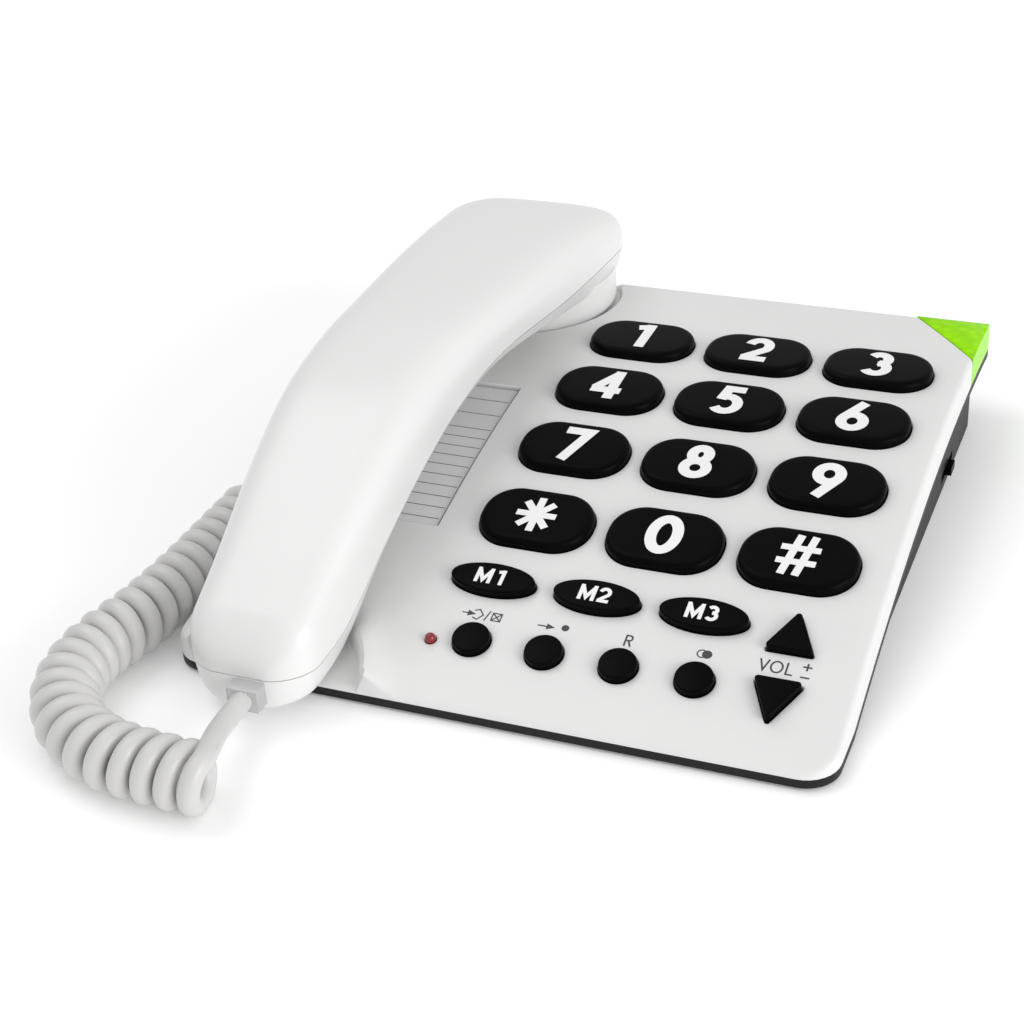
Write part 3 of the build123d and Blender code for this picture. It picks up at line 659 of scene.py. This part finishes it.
def card_opening():
    """The recess for the card, as loops from the top sheet down to its floor's edge."""
    loops = []
    for grow, depth in ((OPENING_EDGE_R, 0.0), (0.0, OPENING_EDGE_R), (0.0, CARD_RECESS)):
        corners = ((CARD_X[0] - grow, CARD_Y[0] - grow), (CARD_X[1] + grow, CARD_Y[0] - grow),
                   (CARD_X[1] + grow, CARD_Y[1] + grow), (CARD_X[0] - grow, CARD_Y[1] + grow))
        loop = joined_arcs(rounded_corners(corners, [CARD_CORNER_R + grow] * 4, 3), CARD_SIDE_STEPS)
        loops.append([(x, y, surface_z(y) - depth) for x, y in loop])
    return loops


def sheet_points(outer, openings):
    """Points inside the top sheet: a grid, with rings round the collar and at the dish's edge."""
    points = []
    for row in range(int(GRID_SIZE[1] / GRID_STEP)):
        for column in range(int(GRID_SIZE[0] / GRID_STEP)):
            x = GRID_START[0] + column * GRID_STEP
            y = GRID_START[1] + row * GRID_STEP
            if math.hypot(x - COLLAR_X, y - COLLAR_Y) > COLLAR_FOOT_R + COLLAR_MARGIN:
                points.append((x, y))
    flatten = math.cos(surface_tilt(ARC_END_Y))
    for step in range(int(COLLAR_FOOT_R / COLLAR_RING_STEP)):
        radius = COLLAR_FOOT_R - step * COLLAR_RING_STEP
        points += ellipse((COLLAR_X, COLLAR_Y), (radius, radius * flatten), COLLAR_RING_SIDES)
    for radius in (DISH_R + DISH_EDGE, DISH_R + DISH_EDGE / 2, DISH_R):
        points += ellipse((HANDSET_X, EAR_Y), (radius, radius), DISH_SIDES)
    kept = [(x, y) for x, y in points if inside(outer, x, y, OUTER_MARGIN)]
    for opening in openings:
        low = [min(point[axis] for point in opening) - HOLE_MARGIN for axis in (0, 1)]
        high = [max(point[axis] for point in opening) + HOLE_MARGIN for axis in (0, 1)]
        kept = [(x, y) for x, y in kept if not (low[0] < x < high[0] and low[1] < y < high[1])]
    return kept


def inside(outline, x, y, margin):
    """Whether a point is inside a convex outline by a margin."""
    for (x0, y0), (x1, y1) in zip(outline, outline[1:] + outline[:1]):
        run = math.hypot(x1 - x0, y1 - y0)
        if run > 0 and ((x1 - x0) * (y - y0) - (y1 - y0) * (x - x0)) / run < margin:
            return False
    return True


def add_upper_case(material):
    """The upper case as one closed shell: its top sheet with every opening, its walls and its inside."""
    skirt = case_skirt()
    openings = case_openings() + [card_opening()]
    for loops in openings:
        loops[0] = [(x, y, case_z(x, y)) for x, y, z in loops[0]]
    outer = [point[:2] for point in skirt[0]]
    holes = [[point[:2] for point in loops[0]] for loops in openings]
    flat = [Vector(point) for point in outer]
    loops = [list(range(len(outer)))]
    for hole in holes:
        loops.append(list(range(len(flat), len(flat) + len(hole))))
        flat += [Vector(point) for point in hole]
    flat += [Vector(point) for point in sheet_points(outer, holes)]
    flat, _, triangles, _, _, sources = delaunay_2d_cdt(flat, [], loops, 1, 0.0001)
    triangles = [list(face) for face, under in zip(triangles, sources) if list(under) == [0]]
    count = len(flat)
    points = [(p.x, p.y, case_z(p.x, p.y)) for p in flat]
    points += [(p.x, p.y, case_z(p.x, p.y) - WALL) for p in flat]
    faces = triangles + [[count + corner for corner in reversed(face)] for face in triangles]
    for walls, turn in [(skirt, False)] + [(opening, True) for opening in openings]:
        under = [(x, y, case_z(x, y) - WALL) for x, y, z in walls[0]]
        rings = walls + [under]
        first = len(points)
        size = len(under)
        points += [point for ring in rings for point in ring]
        for ring in range(len(rings) - 1):
            for step in range(size):
                here = first + ring * size + step
                beside = first + ring * size + (step + 1) % size
                face = [here, here + size, beside + size, beside]
                faces.append(list(reversed(face)) if turn else face)
    case = mesh_object("upper_case_outside", points, faces, material, 40.0)
    join_points(case)
    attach(case, "base")
    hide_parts("upper_case")


def join_points(piece):
    """Joins points of a mesh that lie at the same place and makes its faces point outwards."""
    shape = bmesh.new()
    shape.from_mesh(piece.data)
    bmesh.ops.remove_doubles(shape, verts=shape.verts, dist=JOIN_DISTANCE * MM)
    bmesh.ops.dissolve_degenerate(shape, edges=shape.edges, dist=JOIN_DISTANCE * MM / 20)
    bmesh.ops.recalc_face_normals(shape, faces=shape.faces)
    shape.to_mesh(piece.data)
    shape.free()
    piece.data.set_sharp_from_angle(angle=math.radians(40.0))


# ---------------- keys
def row_y(row):
    """Y of a digit row, counted from the rear, with the pitch measured along the arc."""
    start = surface_tilt(ROW_1_Y)
    return ARC_APEX_Y - ARC_R * math.sin(start + row * KEY_PITCH_Y / ARC_R)


def add_key(name, place, outline, height, crown, material):
    """A key cap with a soft shoulder and a slightly domed top, which stands for the CAD key."""
    shoulder, dome = crown
    rings = [[(x, y, -KEY_DEPTH) for x, y in outline(0)]]
    for step in range(SHOULDER_STEPS + 1):
        angle = math.pi / 2 * step / SHOULDER_STEPS
        z = height - dome - shoulder * (1 - math.sin(angle))
        rings.append([(x, y, z) for x, y in outline(shoulder * (1 - math.cos(angle)))])
    top = rings[-1]
    middle = [sum(point[axis] for point in top) / len(top) for axis in (0, 1)]
    for scale in DOME_SCALES:
        z = height - dome * scale ** 2
        rings.append([(middle[0] + (x - middle[0]) * scale, middle[1] + (y - middle[1]) * scale, z)
                      for x, y, _ in top])
    points = [place @ Vector(point) for ring in rings for point in ring]
    cap = mesh_object(name + "_cap", points, ring_faces(len(rings), len(top)), material, 50.0)
    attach(cap, name)
    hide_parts(name)


# ---------------- legends
def glyph(character):
    """The strokes of a character as open or closed lines, in cap heights about its middle."""
    a = 0.5 - DIGIT_BOLD / 2
    strokes = {
        "0": [ellipse((0, 0), (0.27, a), 28)],
        "1": [[(0.08, -0.5), (0.08, 0.5)], [(-0.2, 0.33), (0.08, 0.4)]],
        "2": [arc((-0.01, 0.16), (0.23, 0.24), 170, -38, 14) + [(-0.24, -0.38)], [(-0.31, -a), (0.29, -a)]],
        "3": [arc((-0.02, 0.2), (0.2, 0.2), 150, -90, 14), arc((-0.02, -0.17), (0.24, 0.23), 90, -150, 16)],
        "4": [[(0.12, -0.5), (0.12, 0.5)], [(0.14, 0.46), (-0.28, -0.16)], [(-0.36, -0.2), (0.34, -0.2)]],
        "5": [[(0.28, a), (-0.11, a), (-0.18, 0.0)], arc((-0.03, -0.14), (0.26, 0.26), 125, -145, 16)],
        "6": [[(0.14, 0.5), (-0.2, -0.04)], ellipse((0, -0.17), (0.24, 0.23), 24)],
        "7": [[(-0.3, a), (0.24, a), (-0.12, -0.5)]],
        "8": [ellipse((0, 0.21), (0.18, 0.19), 22), ellipse((0, -0.19), (0.24, 0.21), 24)],
        "M": [[(-0.34, -0.5), (-0.34, 0.5)], [(0.34, -0.5), (0.34, 0.5)],
              [(-0.34, 0.42), (0, -0.3), (0.34, 0.42)]],
        "V": [[(-0.3, 0.5), (0, -0.4), (0.3, 0.5)]],
        "O": [ellipse((0, 0), (0.38, 0.45), 28)],
        "L": [[(-0.2, 0.5), (-0.2, -0.45), (0.24, -0.45)]],
        "R": [[(-0.22, -0.5), (-0.22, 0.45), (0.04, 0.45)] + arc((0.04, 0.23), (0.2, 0.22), 90, -90, 10)
              + [(-0.22, 0.01)], [(0.0, 0.0), (0.24, -0.5)]],
        "+": [[(-0.3, 0), (0.3, 0)], [(0, -0.3), (0, 0.3)]],
        "-": [[(-0.3, 0), (0.3, 0)]],
        "#": [[(-0.24, -0.5), (-0.06, 0.5)], [(0.06, -0.5), (0.24, 0.5)], [(-0.4, 0.17), (0.42, 0.17)],
              [(-0.42, -0.17), (0.4, -0.17)]],
        "*": [[(-x, -y), (x, y)] for x, y in arc((0, 0), (0.44, 0.44), 0, 135, 3)],
    }
    strokes["9"] = [[(-x, -y) for x, y in line] for line in strokes["6"]]
    return strokes[character]


def stroke_faces(line, width):
    """A stroke as four-sided patches along a line, with mitred corners.

    A line of 20 points or more that ends near its start is closed.
    """
    points = [Vector(point) for point in line]
    closed = len(points) >= 20 and (points[0] - points[-1]).length < width * 2
    count = len(points)
    left = []
    right = []
    for index, here in enumerate(points):
        before = points[index - 1] if closed or index else here
        after = points[(index + 1) % count] if closed or index < count - 1 else here
        into = (here - before).normalized() if before != here else (after - here).normalized()
        out = (after - here).normalized() if after != here else into
        mitre = (into + out).normalized()
        offset = Vector((-mitre.y, mitre.x)) * width / 2 / max(mitre.dot(into), 0.3)
        left.append(here + offset)
        right.append(here - offset)
    patches = []
    for index in range(count if closed else count - 1):
        ahead = (index + 1) % count
        patches.append([right[index], right[ahead], left[ahead], left[index]])
    return patches


def printed(patches, thickness):
    """The points and faces of one thin closed solid, made of overlapping flat patches."""
    flat = [Vector(point) for patch in patches for point in patch]
    loops = []
    for patch in patches:
        start = sum(len(loop) for loop in loops)
        loops.append(list(range(start, start + len(patch))))
    flat, _, triangles, _, _, sources = delaunay_2d_cdt(flat, [], loops, 1, 0.0005)
    triangles = [face for face, patches_under in zip(triangles, sources) if patches_under]
    used = sorted({corner for face in triangles for corner in face})
    order = {corner: index for index, corner in enumerate(used)}
    flat = [flat[corner] for corner in used]
    triangles = [[order[corner] for corner in face] for face in triangles]
    count = len(flat)
    points = [(p.x, p.y, thickness) for p in flat] + [(p.x, p.y, 0.0) for p in flat]
    faces = [tuple(face) for face in triangles]
    faces += [tuple(count + corner for corner in reversed(face)) for face in triangles]
    edges = {(a, b) for face in triangles for a, b in zip(face, face[1:] + face[:1])}
    for a, b in edges:
        if (b, a) not in edges:
            faces.append((b, a, a + count, b + count))
    return points, faces


def text_patches(text, height, bold, advance, narrow=1.0):
    """The patches of a line of characters about its middle, at a cap height."""
    patches = []
    start = -(len(text) - 1) * advance / 2
    for index, character in enumerate(text):
        for line in glyph(character):
            for patch in stroke_faces([(x * narrow, y) for x, y in line], bold):
                patches.append([Vector((p.x + start + index * advance, p.y)) * height for p in patch])
    return patches


def add_print(name, patches, place, height, body, material):
    """Printed patches on a face at a height above a place."""
    points, faces = printed(patches, LEGEND_THICKNESS)
    points = [place @ Vector((x, y, z + height + LEGEND_GAP)) for x, y, z in points]
    layer = mesh_object(name, points, faces, material, 20.0)
    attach(layer, body)


def moved(patches, x, y):
    return [[Vector((p[0] + x, p[1] + y)) for p in patch] for patch in patches]


def line_patches(lines, width):
    """The patches of several strokes of one width."""
    return [patch for line in lines for patch in stroke_faces(line, width)]


def disc(x, y, radius):
    return [[Vector(point) for point in ellipse((x, y), (radius, radius), 24)]]


def arrow(x, y, length, width):
    """An arrow that points along +X and ends at x, y."""
    head = [Vector((x - 2.0, y - 0.85)), Vector((x, y)), Vector((x - 2.0, y + 0.85))]
    return line_patches([[(x - length, y), (x - 1.6, y)]], width) + [head]


def key_symbols():
    """What is printed beyond each round key: store and delete, redial, recall, mute."""
    memory = [(-2.4, 1.0), (-1.2, 1.5), (0.0, 0.0), (-1.2, -1.5), (-2.4, -1.0)]
    slash = [(0.6, -1.5), (1.4, 1.5)]
    box = ((2.2, -1.1), (4.4, -1.1), (4.4, 1.1), (2.2, 1.1), (2.2, -1.1))
    cross = [[(2.2, -1.1), (4.4, 1.1)], [(2.2, 1.1), (4.4, -1.1)]]
    store = arrow(-1.8, 0, 3.4, SYMBOL_LINE) + line_patches([memory], SYMBOL_LINE)
    store += line_patches([slash, box, *cross], SYMBOL_LINE)
    redial = arrow(0.0, 0, 4.2, 0.35) + disc(2.4, 0.4, 0.9)
    recall = text_patches("R", RECALL_LEGEND, RECALL_BOLD, 1.0)
    mute = line_patches([ellipse((-0.5, 0), (1.05, 1.05), 26)], SYMBOL_LINE) + disc(0.7, 0, 1.15)
    return store, redial, recall, mute


def add_keys(materials):
    """All 21 key caps with what is printed on them or beside them."""
    black = materials["key_black"]
    white = materials["legend_white"]
    ink = materials["print_grey"]
    names = [f"key_{digit}" for digit in "123456789"] + ["key_star", "key_0", "key_hash"]
    for index, (name, character) in enumerate(zip(names, "123456789*0#")):
        place = on_surface(KEYPAD_X + (index % 3 - 1) * KEY_PITCH_X, row_y(index // 3))
        add_key(name, place, digit_outline, DIGIT_HEIGHT, DIGIT_CROWN, black)
        bold = SIGN_BOLD if character in "*#" else DIGIT_BOLD
        patches = text_patches(character, DIGIT_LEGEND, bold, 1.0, DIGIT_NARROW)
        add_print(name + "_legend", patches, place, DIGIT_HEIGHT, name, white)
    for index, x in enumerate(MEMORY_X):
        name = f"memory_key_{index + 1}"
        place = on_surface(x, MEMORY_Y)
        add_key(name, place, memory_outline, MEMORY_HEIGHT, MEMORY_CROWN, black)
        patches = text_patches(f"M{index + 1}", MEMORY_LEGEND, MEMORY_BOLD, MEMORY_ADVANCE)
        add_print(name + "_legend", patches, place, MEMORY_HEIGHT, name, white)
    round_names = ("store_key", "redial_key", "recall_key", "mute_key")
    for name, x, symbol in zip(round_names, ROUND_X, key_symbols()):
        add_key(name, on_surface(x, ROUND_Y), round_outline, ROUND_HEIGHT, ROUND_CROWN, black)
        place = on_surface(x, ROUND_Y + SYMBOL_ABOVE_KEY)
        add_print(name + "_symbol", symbol, place, 0.0, "base", ink)
    up = on_surface(VOLUME_X, VOLUME_UP_Y)
    down = on_surface(VOLUME_X, VOLUME_DOWN_Y)
    add_key("volume_up_key", up, volume_outline, VOLUME_HEIGHT, VOLUME_CROWN, black)
    add_key("volume_down_key", down, volume_down_outline, VOLUME_HEIGHT, VOLUME_CROWN, black)
    words = []
    for text, x, y in (("VOL", -1.6, 0), ("+", 5.0, 1.3), ("-", 5.0, -1.6)):
        words += moved(text_patches(text, VOLUME_LEGEND, VOLUME_BOLD, VOLUME_ADVANCE), x, y)
    middle = (VOLUME_UP_Y + VOLUME_DOWN_Y) / 2
    add_print("volume_words", words, on_surface(VOLUME_X, middle), 0.0, "base", ink)


# ---------------- index card
def add_card_lines(materials):
    """The card's ruled lines: a few far apart at the rear, then closer ones."""
    y = CARD_Y[1]
    half = (CARD_X[1] - CARD_X[0]) / 2 - CARD_MARGIN
    side = CARD_LINE_WIDTH / 2
    points = []
    faces = []
    for index in range(CARD_LINES):
        y -= CARD_WIDE_PITCH if index < CARD_WIDE_LINES else CARD_PITCH
        first = len(points)
        for layer in (0.0, CARD_LINE_RISE):
            for x, edge in ((-half, -side), (half, -side), (half, side), (-half, side)):
                z = surface_z(y + edge) - CARD_DEPTH + layer
                points.append(((CARD_X[0] + CARD_X[1]) / 2 + x, y + edge, z))
        faces += [tuple(first + corner for corner in face) for face in BOX_FACES]
    lines = mesh_object("card_lines", points, faces, materials["print_grey"], 20.0)
    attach(lines, "base")


# ---------------- handset
def smooth_value(column, y):
    """A value from the handset's stations, joined by a smooth curve along Y."""
    rows = sorted(HANDSET_STATIONS)
    index = max(i for i in range(len(rows) - 1) if rows[i][0] <= y or i == 0)
    before, start = rows[max(index - 1, 0)], rows[index]
    end, after = rows[index + 1], rows[min(index + 2, len(rows) - 1)]
    span = end[0] - start[0]
    slope_start = (end[column] - before[column]) / (end[0] - before[0]) * span
    slope_end = (after[column] - start[column]) / (after[0] - start[0]) * span
    t = (y - start[0]) / span
    rise = end[column] - start[column]
    return (start[column] + slope_start * t + (3 * rise - 2 * slope_start - slope_end) * t ** 2
            + (slope_start + slope_end - 2 * rise) * t ** 3)


def end_drop(y, radius):
    """How far a rounded end stands back from its side, at a place along Y, as a share of its radius."""
    depth = max(abs(y) - (ROUNDED_END - radius), 0.0) / radius
    return 1 - math.sqrt(max(1 - depth ** 2, 0.0))


def handset_ring(y, upper):
    """Half of the handset's section, above or below the parting line, closed across the middle."""
    corner_r, top_r = (EAR_CORNER_R, EAR_TOP_R) if y > 0 else (MOUTH_CORNER_R, MOUTH_TOP_R)
    half = smooth_value(1, y) - corner_r * end_drop(y, corner_r)
    middle = HANDSET_X - HANDSET_TURN * max(EAR_Y - y, 0.0)
    parting = smooth_value(3, y)
    height = (smooth_value(4, y) - parting) * (1 - END_FALL * end_drop(y, top_r)) - PARTING_GAP / 2
    depth = parting - smooth_value(2, y) - PARTING_GAP / 2
    power = 2 / (TOP_SQUARENESS if upper else UNDER_SQUARENESS)
    ring = []
    for step in range(HALF_SIDES + 1):
        angle = math.pi * step / HALF_SIDES
        cosine = math.cos(angle)
        share = max(math.sin(angle), 0.0) ** power
        x = half * math.copysign(abs(cosine) ** power, cosine)
        if upper:
            z = parting + PARTING_GAP / 2 + height * share
        else:
            x *= 1 - (1 - UNDER_DRAFT) * share
            z = parting - PARTING_GAP / 2 - depth * share
        ring.append((middle + x, y, z))
    return ring if upper else list(reversed(ring))


def handset_stops():
    """Places of the rings along Y, closer together towards both ends."""
    return [-HANDSET_END * math.cos(math.pi * step / HANDSET_RINGS) for step in range(HANDSET_RINGS + 1)]


def add_shell(name, upper, material):
    """One of the handset's two shells, above or below the parting line."""
    rings = [handset_ring(y, upper) for y in reversed(handset_stops())]
    points = [point for ring in rings for point in ring]
    shell = mesh_object(name + "_outside", points, ring_faces(len(rings), len(rings[0])), material, 50.0)
    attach(shell, "handset")
    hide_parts(name)


def add_ear_cup(material):
    """The round cup of the receiver, which stands in the base's dish, with its sound holes."""
    profile = [(EAR_R - EAR_EDGE_R * (1 - math.sin(math.radians(a))),
                EAR_BOTTOM_Z + EAR_EDGE_R * (1 - math.cos(math.radians(a)))) for a in range(0, 91, 15)]
    profile.append((EAR_R, EAR_TOP_Z))
    points = []
    for radius, z in profile:
        points += [(HANDSET_X + x, EAR_Y + y, z) for x, y in ellipse((0, 0), (radius, radius), EAR_SIDES)]
    faces = ring_faces(len(profile), EAR_SIDES)
    del faces[-2]    # the plain bottom, which gives way to one with holes
    flat = [Vector(point[:2]) for point in points[:EAR_SIDES]]
    loops = [list(range(EAR_SIDES))]
    for x, y in ellipse((HANDSET_X, EAR_Y), (SOUND_RING_R, SOUND_RING_R), 6):
        hole = ellipse((x, y), (SOUND_HOLE_R, SOUND_HOLE_R), HOLE_SIDES)
        loops.append(list(range(len(flat), len(flat) + HOLE_SIDES)))
        flat += [Vector(point) for point in hole]
        first = len(points)
        for z in (EAR_BOTTOM_Z, EAR_BOTTOM_Z + SOUND_HOLE_DEPTH):
            points += [(u, v, z) for u, v in hole]
        for step in range(HOLE_SIDES):
            here = first + step
            beside = first + (step + 1) % HOLE_SIDES
            faces.append((here, here + HOLE_SIDES, beside + HOLE_SIDES, beside))
        faces.append(tuple(range(first + 2 * HOLE_SIDES - 1, first + HOLE_SIDES - 1, -1)))
    flat, _, triangles, _, _, sources = delaunay_2d_cdt(flat, [], loops, 1, 0.0001)
    first = len(points)
    points += [(p.x, p.y, EAR_BOTTOM_Z) for p in flat]
    for face, under in zip(triangles, sources):
        if list(under) == [0]:
            faces.append(tuple(first + corner for corner in reversed(face)))
    cup = mesh_object("ear_cup", points, faces, material, 50.0)
    join_points(cup)
    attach(cup, "handset")


def add_handset(materials):
    """Both shells, and the ear cup under them."""
    white = materials["handset_white"]
    add_shell("handset_back_shell", True, white)
    add_shell("handset_front_shell", False, white)
    add_ear_cup(white)


# ---------------- softer edges on the CAD pieces
def soften(node, radius):
    """Rounds the sharp edges of a CAD node where it is shown."""
    piece = frame["nodes"][node]
    weld = piece.modifiers.new("weld", "WELD")
    weld.merge_threshold = WELD_DISTANCE * MM
    bevel = piece.modifiers.new("edges", "BEVEL")
    bevel.width = radius * MM
    bevel.segments = 3
    bevel.limit_method = "ANGLE"
    bevel.angle_limit = math.radians(SHARP_EDGE)
    bevel.harden_normals = True
    bevel.use_clamp_overlap = True


# ---------------- curly cord
def coil_turns():
    """Control points of the coil's helix: turn after turn round the line that the coil lies along."""
    axis = resample(read_spline([(x, y, COIL_D / 2) for x, y in COIL_ROUTE]), COIL_PITCH / HELIX_STEPS)
    radius = (COIL_D - WIRE_D) / 2 / math.cos(math.pi / HELIX_STEPS) ** 0.5
    up = Vector((0, 0, 1))
    turns = []
    for index, place in enumerate(axis[:-1]):
        along = (axis[index + 1] - place).normalized()
        front = up.cross(along)
        angle = 2 * math.pi * index / HELIX_STEPS
        turns.append(place + (up * math.cos(angle) + front * math.sin(angle)) * radius)
    return turns


def add_cord(materials):
    """The whole cord as one wire, whose first part follows the handset."""
    turns = coil_turns()
    control = [Vector(point) for point in HANDSET_LEAD] + turns + [Vector(point) for point in BASE_LEAD]
    line = resample(read_spline(control), CORD_STEP)
    cord = tube("curly_cord", line, WIRE_D / 2, CORD_SIDES, materials["cord_white"])
    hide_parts("cord_lead_handset", "cord_coil", "cord_lead_base")
    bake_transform(cord, "base", "handset", start=(0, 0, 0), end=(0, 0, 1))
    weights = cord.data.attributes["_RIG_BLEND"].data
    for ring in range(len(line)):
        share = max(0.0, 1 - ring / (STRETCH_SHARE * len(line))) ** 2
        for step in range(CORD_SIDES):
            weights[ring * CORD_SIDES + step].value = share


# ---------------- stage
def add_stage():
    """A plain white floor."""
    material = new_material(
        "floor", (0.97, 0.97, 0.97), 0.8, Emission_Color=(1, 1, 1, 1), Emission_Strength=0.12)
    corners = [(x * FLOOR_HALF, y * FLOOR_HALF, FLOOR_Z) for x, y in ((-1, -1), (1, -1), (1, 1), (-1, 1))]
    mesh_object("floor", corners, [(0, 1, 2, 3)], add_grain(material, 40, 0.01, 0.003), 35.0)


def add_light(name, place, target, size, power):
    """An area light at a place in metres, turned towards a target."""
    data = bpy.data.lights.new(name, "AREA")
    data.shape = "RECTANGLE"
    data.size = size[0]
    data.size_y = size[1]
    data.energy = power
    light = bpy.data.objects.new(name, data)
    light.location = place
    light.rotation_euler = (Vector(target) - Vector(place)).to_track_quat("-Z", "Y").to_euler()
    bpy.context.scene.collection.objects.link(light)


def add_lights():
    """White surroundings and two area lights."""
    world = bpy.data.worlds.new("studio")
    world.use_nodes = True
    world.node_tree.nodes["Background"].inputs["Color"].default_value = (1, 1, 1, 1)
    world.node_tree.nodes["Background"].inputs["Strength"].default_value = WORLD_STRENGTH
    bpy.context.scene.world = world
    add_light("key_light", (-0.7, 0.1, 1.3), (0, 0, 0.02), (0.9, 0.9), 4.5)
    add_light("right_fill", (1.25, -0.5, 0.5), (0, 0, 0.03), (0.9, 0.7), 9.5)


def add_camera():
    """The camera, as fitted to the photograph."""
    data = bpy.data.cameras.new("camera")
    data.sensor_width = 36.0
    data.lens = CAMERA_LENS
    data.clip_start = 0.01
    camera = bpy.data.objects.new("camera", data)
    turn = (Matrix.Rotation(math.radians(CAMERA_AZIMUTH), 4, "Z")
            @ Matrix.Rotation(math.radians(90 - CAMERA_ELEVATION), 4, "X")
            @ Matrix.Rotation(math.radians(CAMERA_ROLL), 4, "Z"))
    camera.matrix_world = Matrix.Translation([c * MM for c in CAMERA_PLACE]) @ turn
    bpy.context.scene.collection.objects.link(camera)
    bpy.context.scene.camera = camera


def paint_cad_nodes(materials):
    """Every CAD node takes the material of its slot in the record."""
    for part in frame["record"]["subparts"]:
        node = frame["nodes"][part["node"]]
        node.data.materials.clear()
        node.data.materials.append(materials[part["material_slot"]])


materials = make_materials()
add_camera()
add_lights()
add_stage()
paint_cad_nodes(materials)
add_keys(materials)
add_card_lines(materials)
add_handset(materials)
add_upper_case(materials["white_shell"])
soften("lower_case", RIM_EDGE_R)
soften("corner_lens", LENS_EDGE_R)
add_cord(materials)
bpy.context.scene.view_settings.view_transform = "Standard"
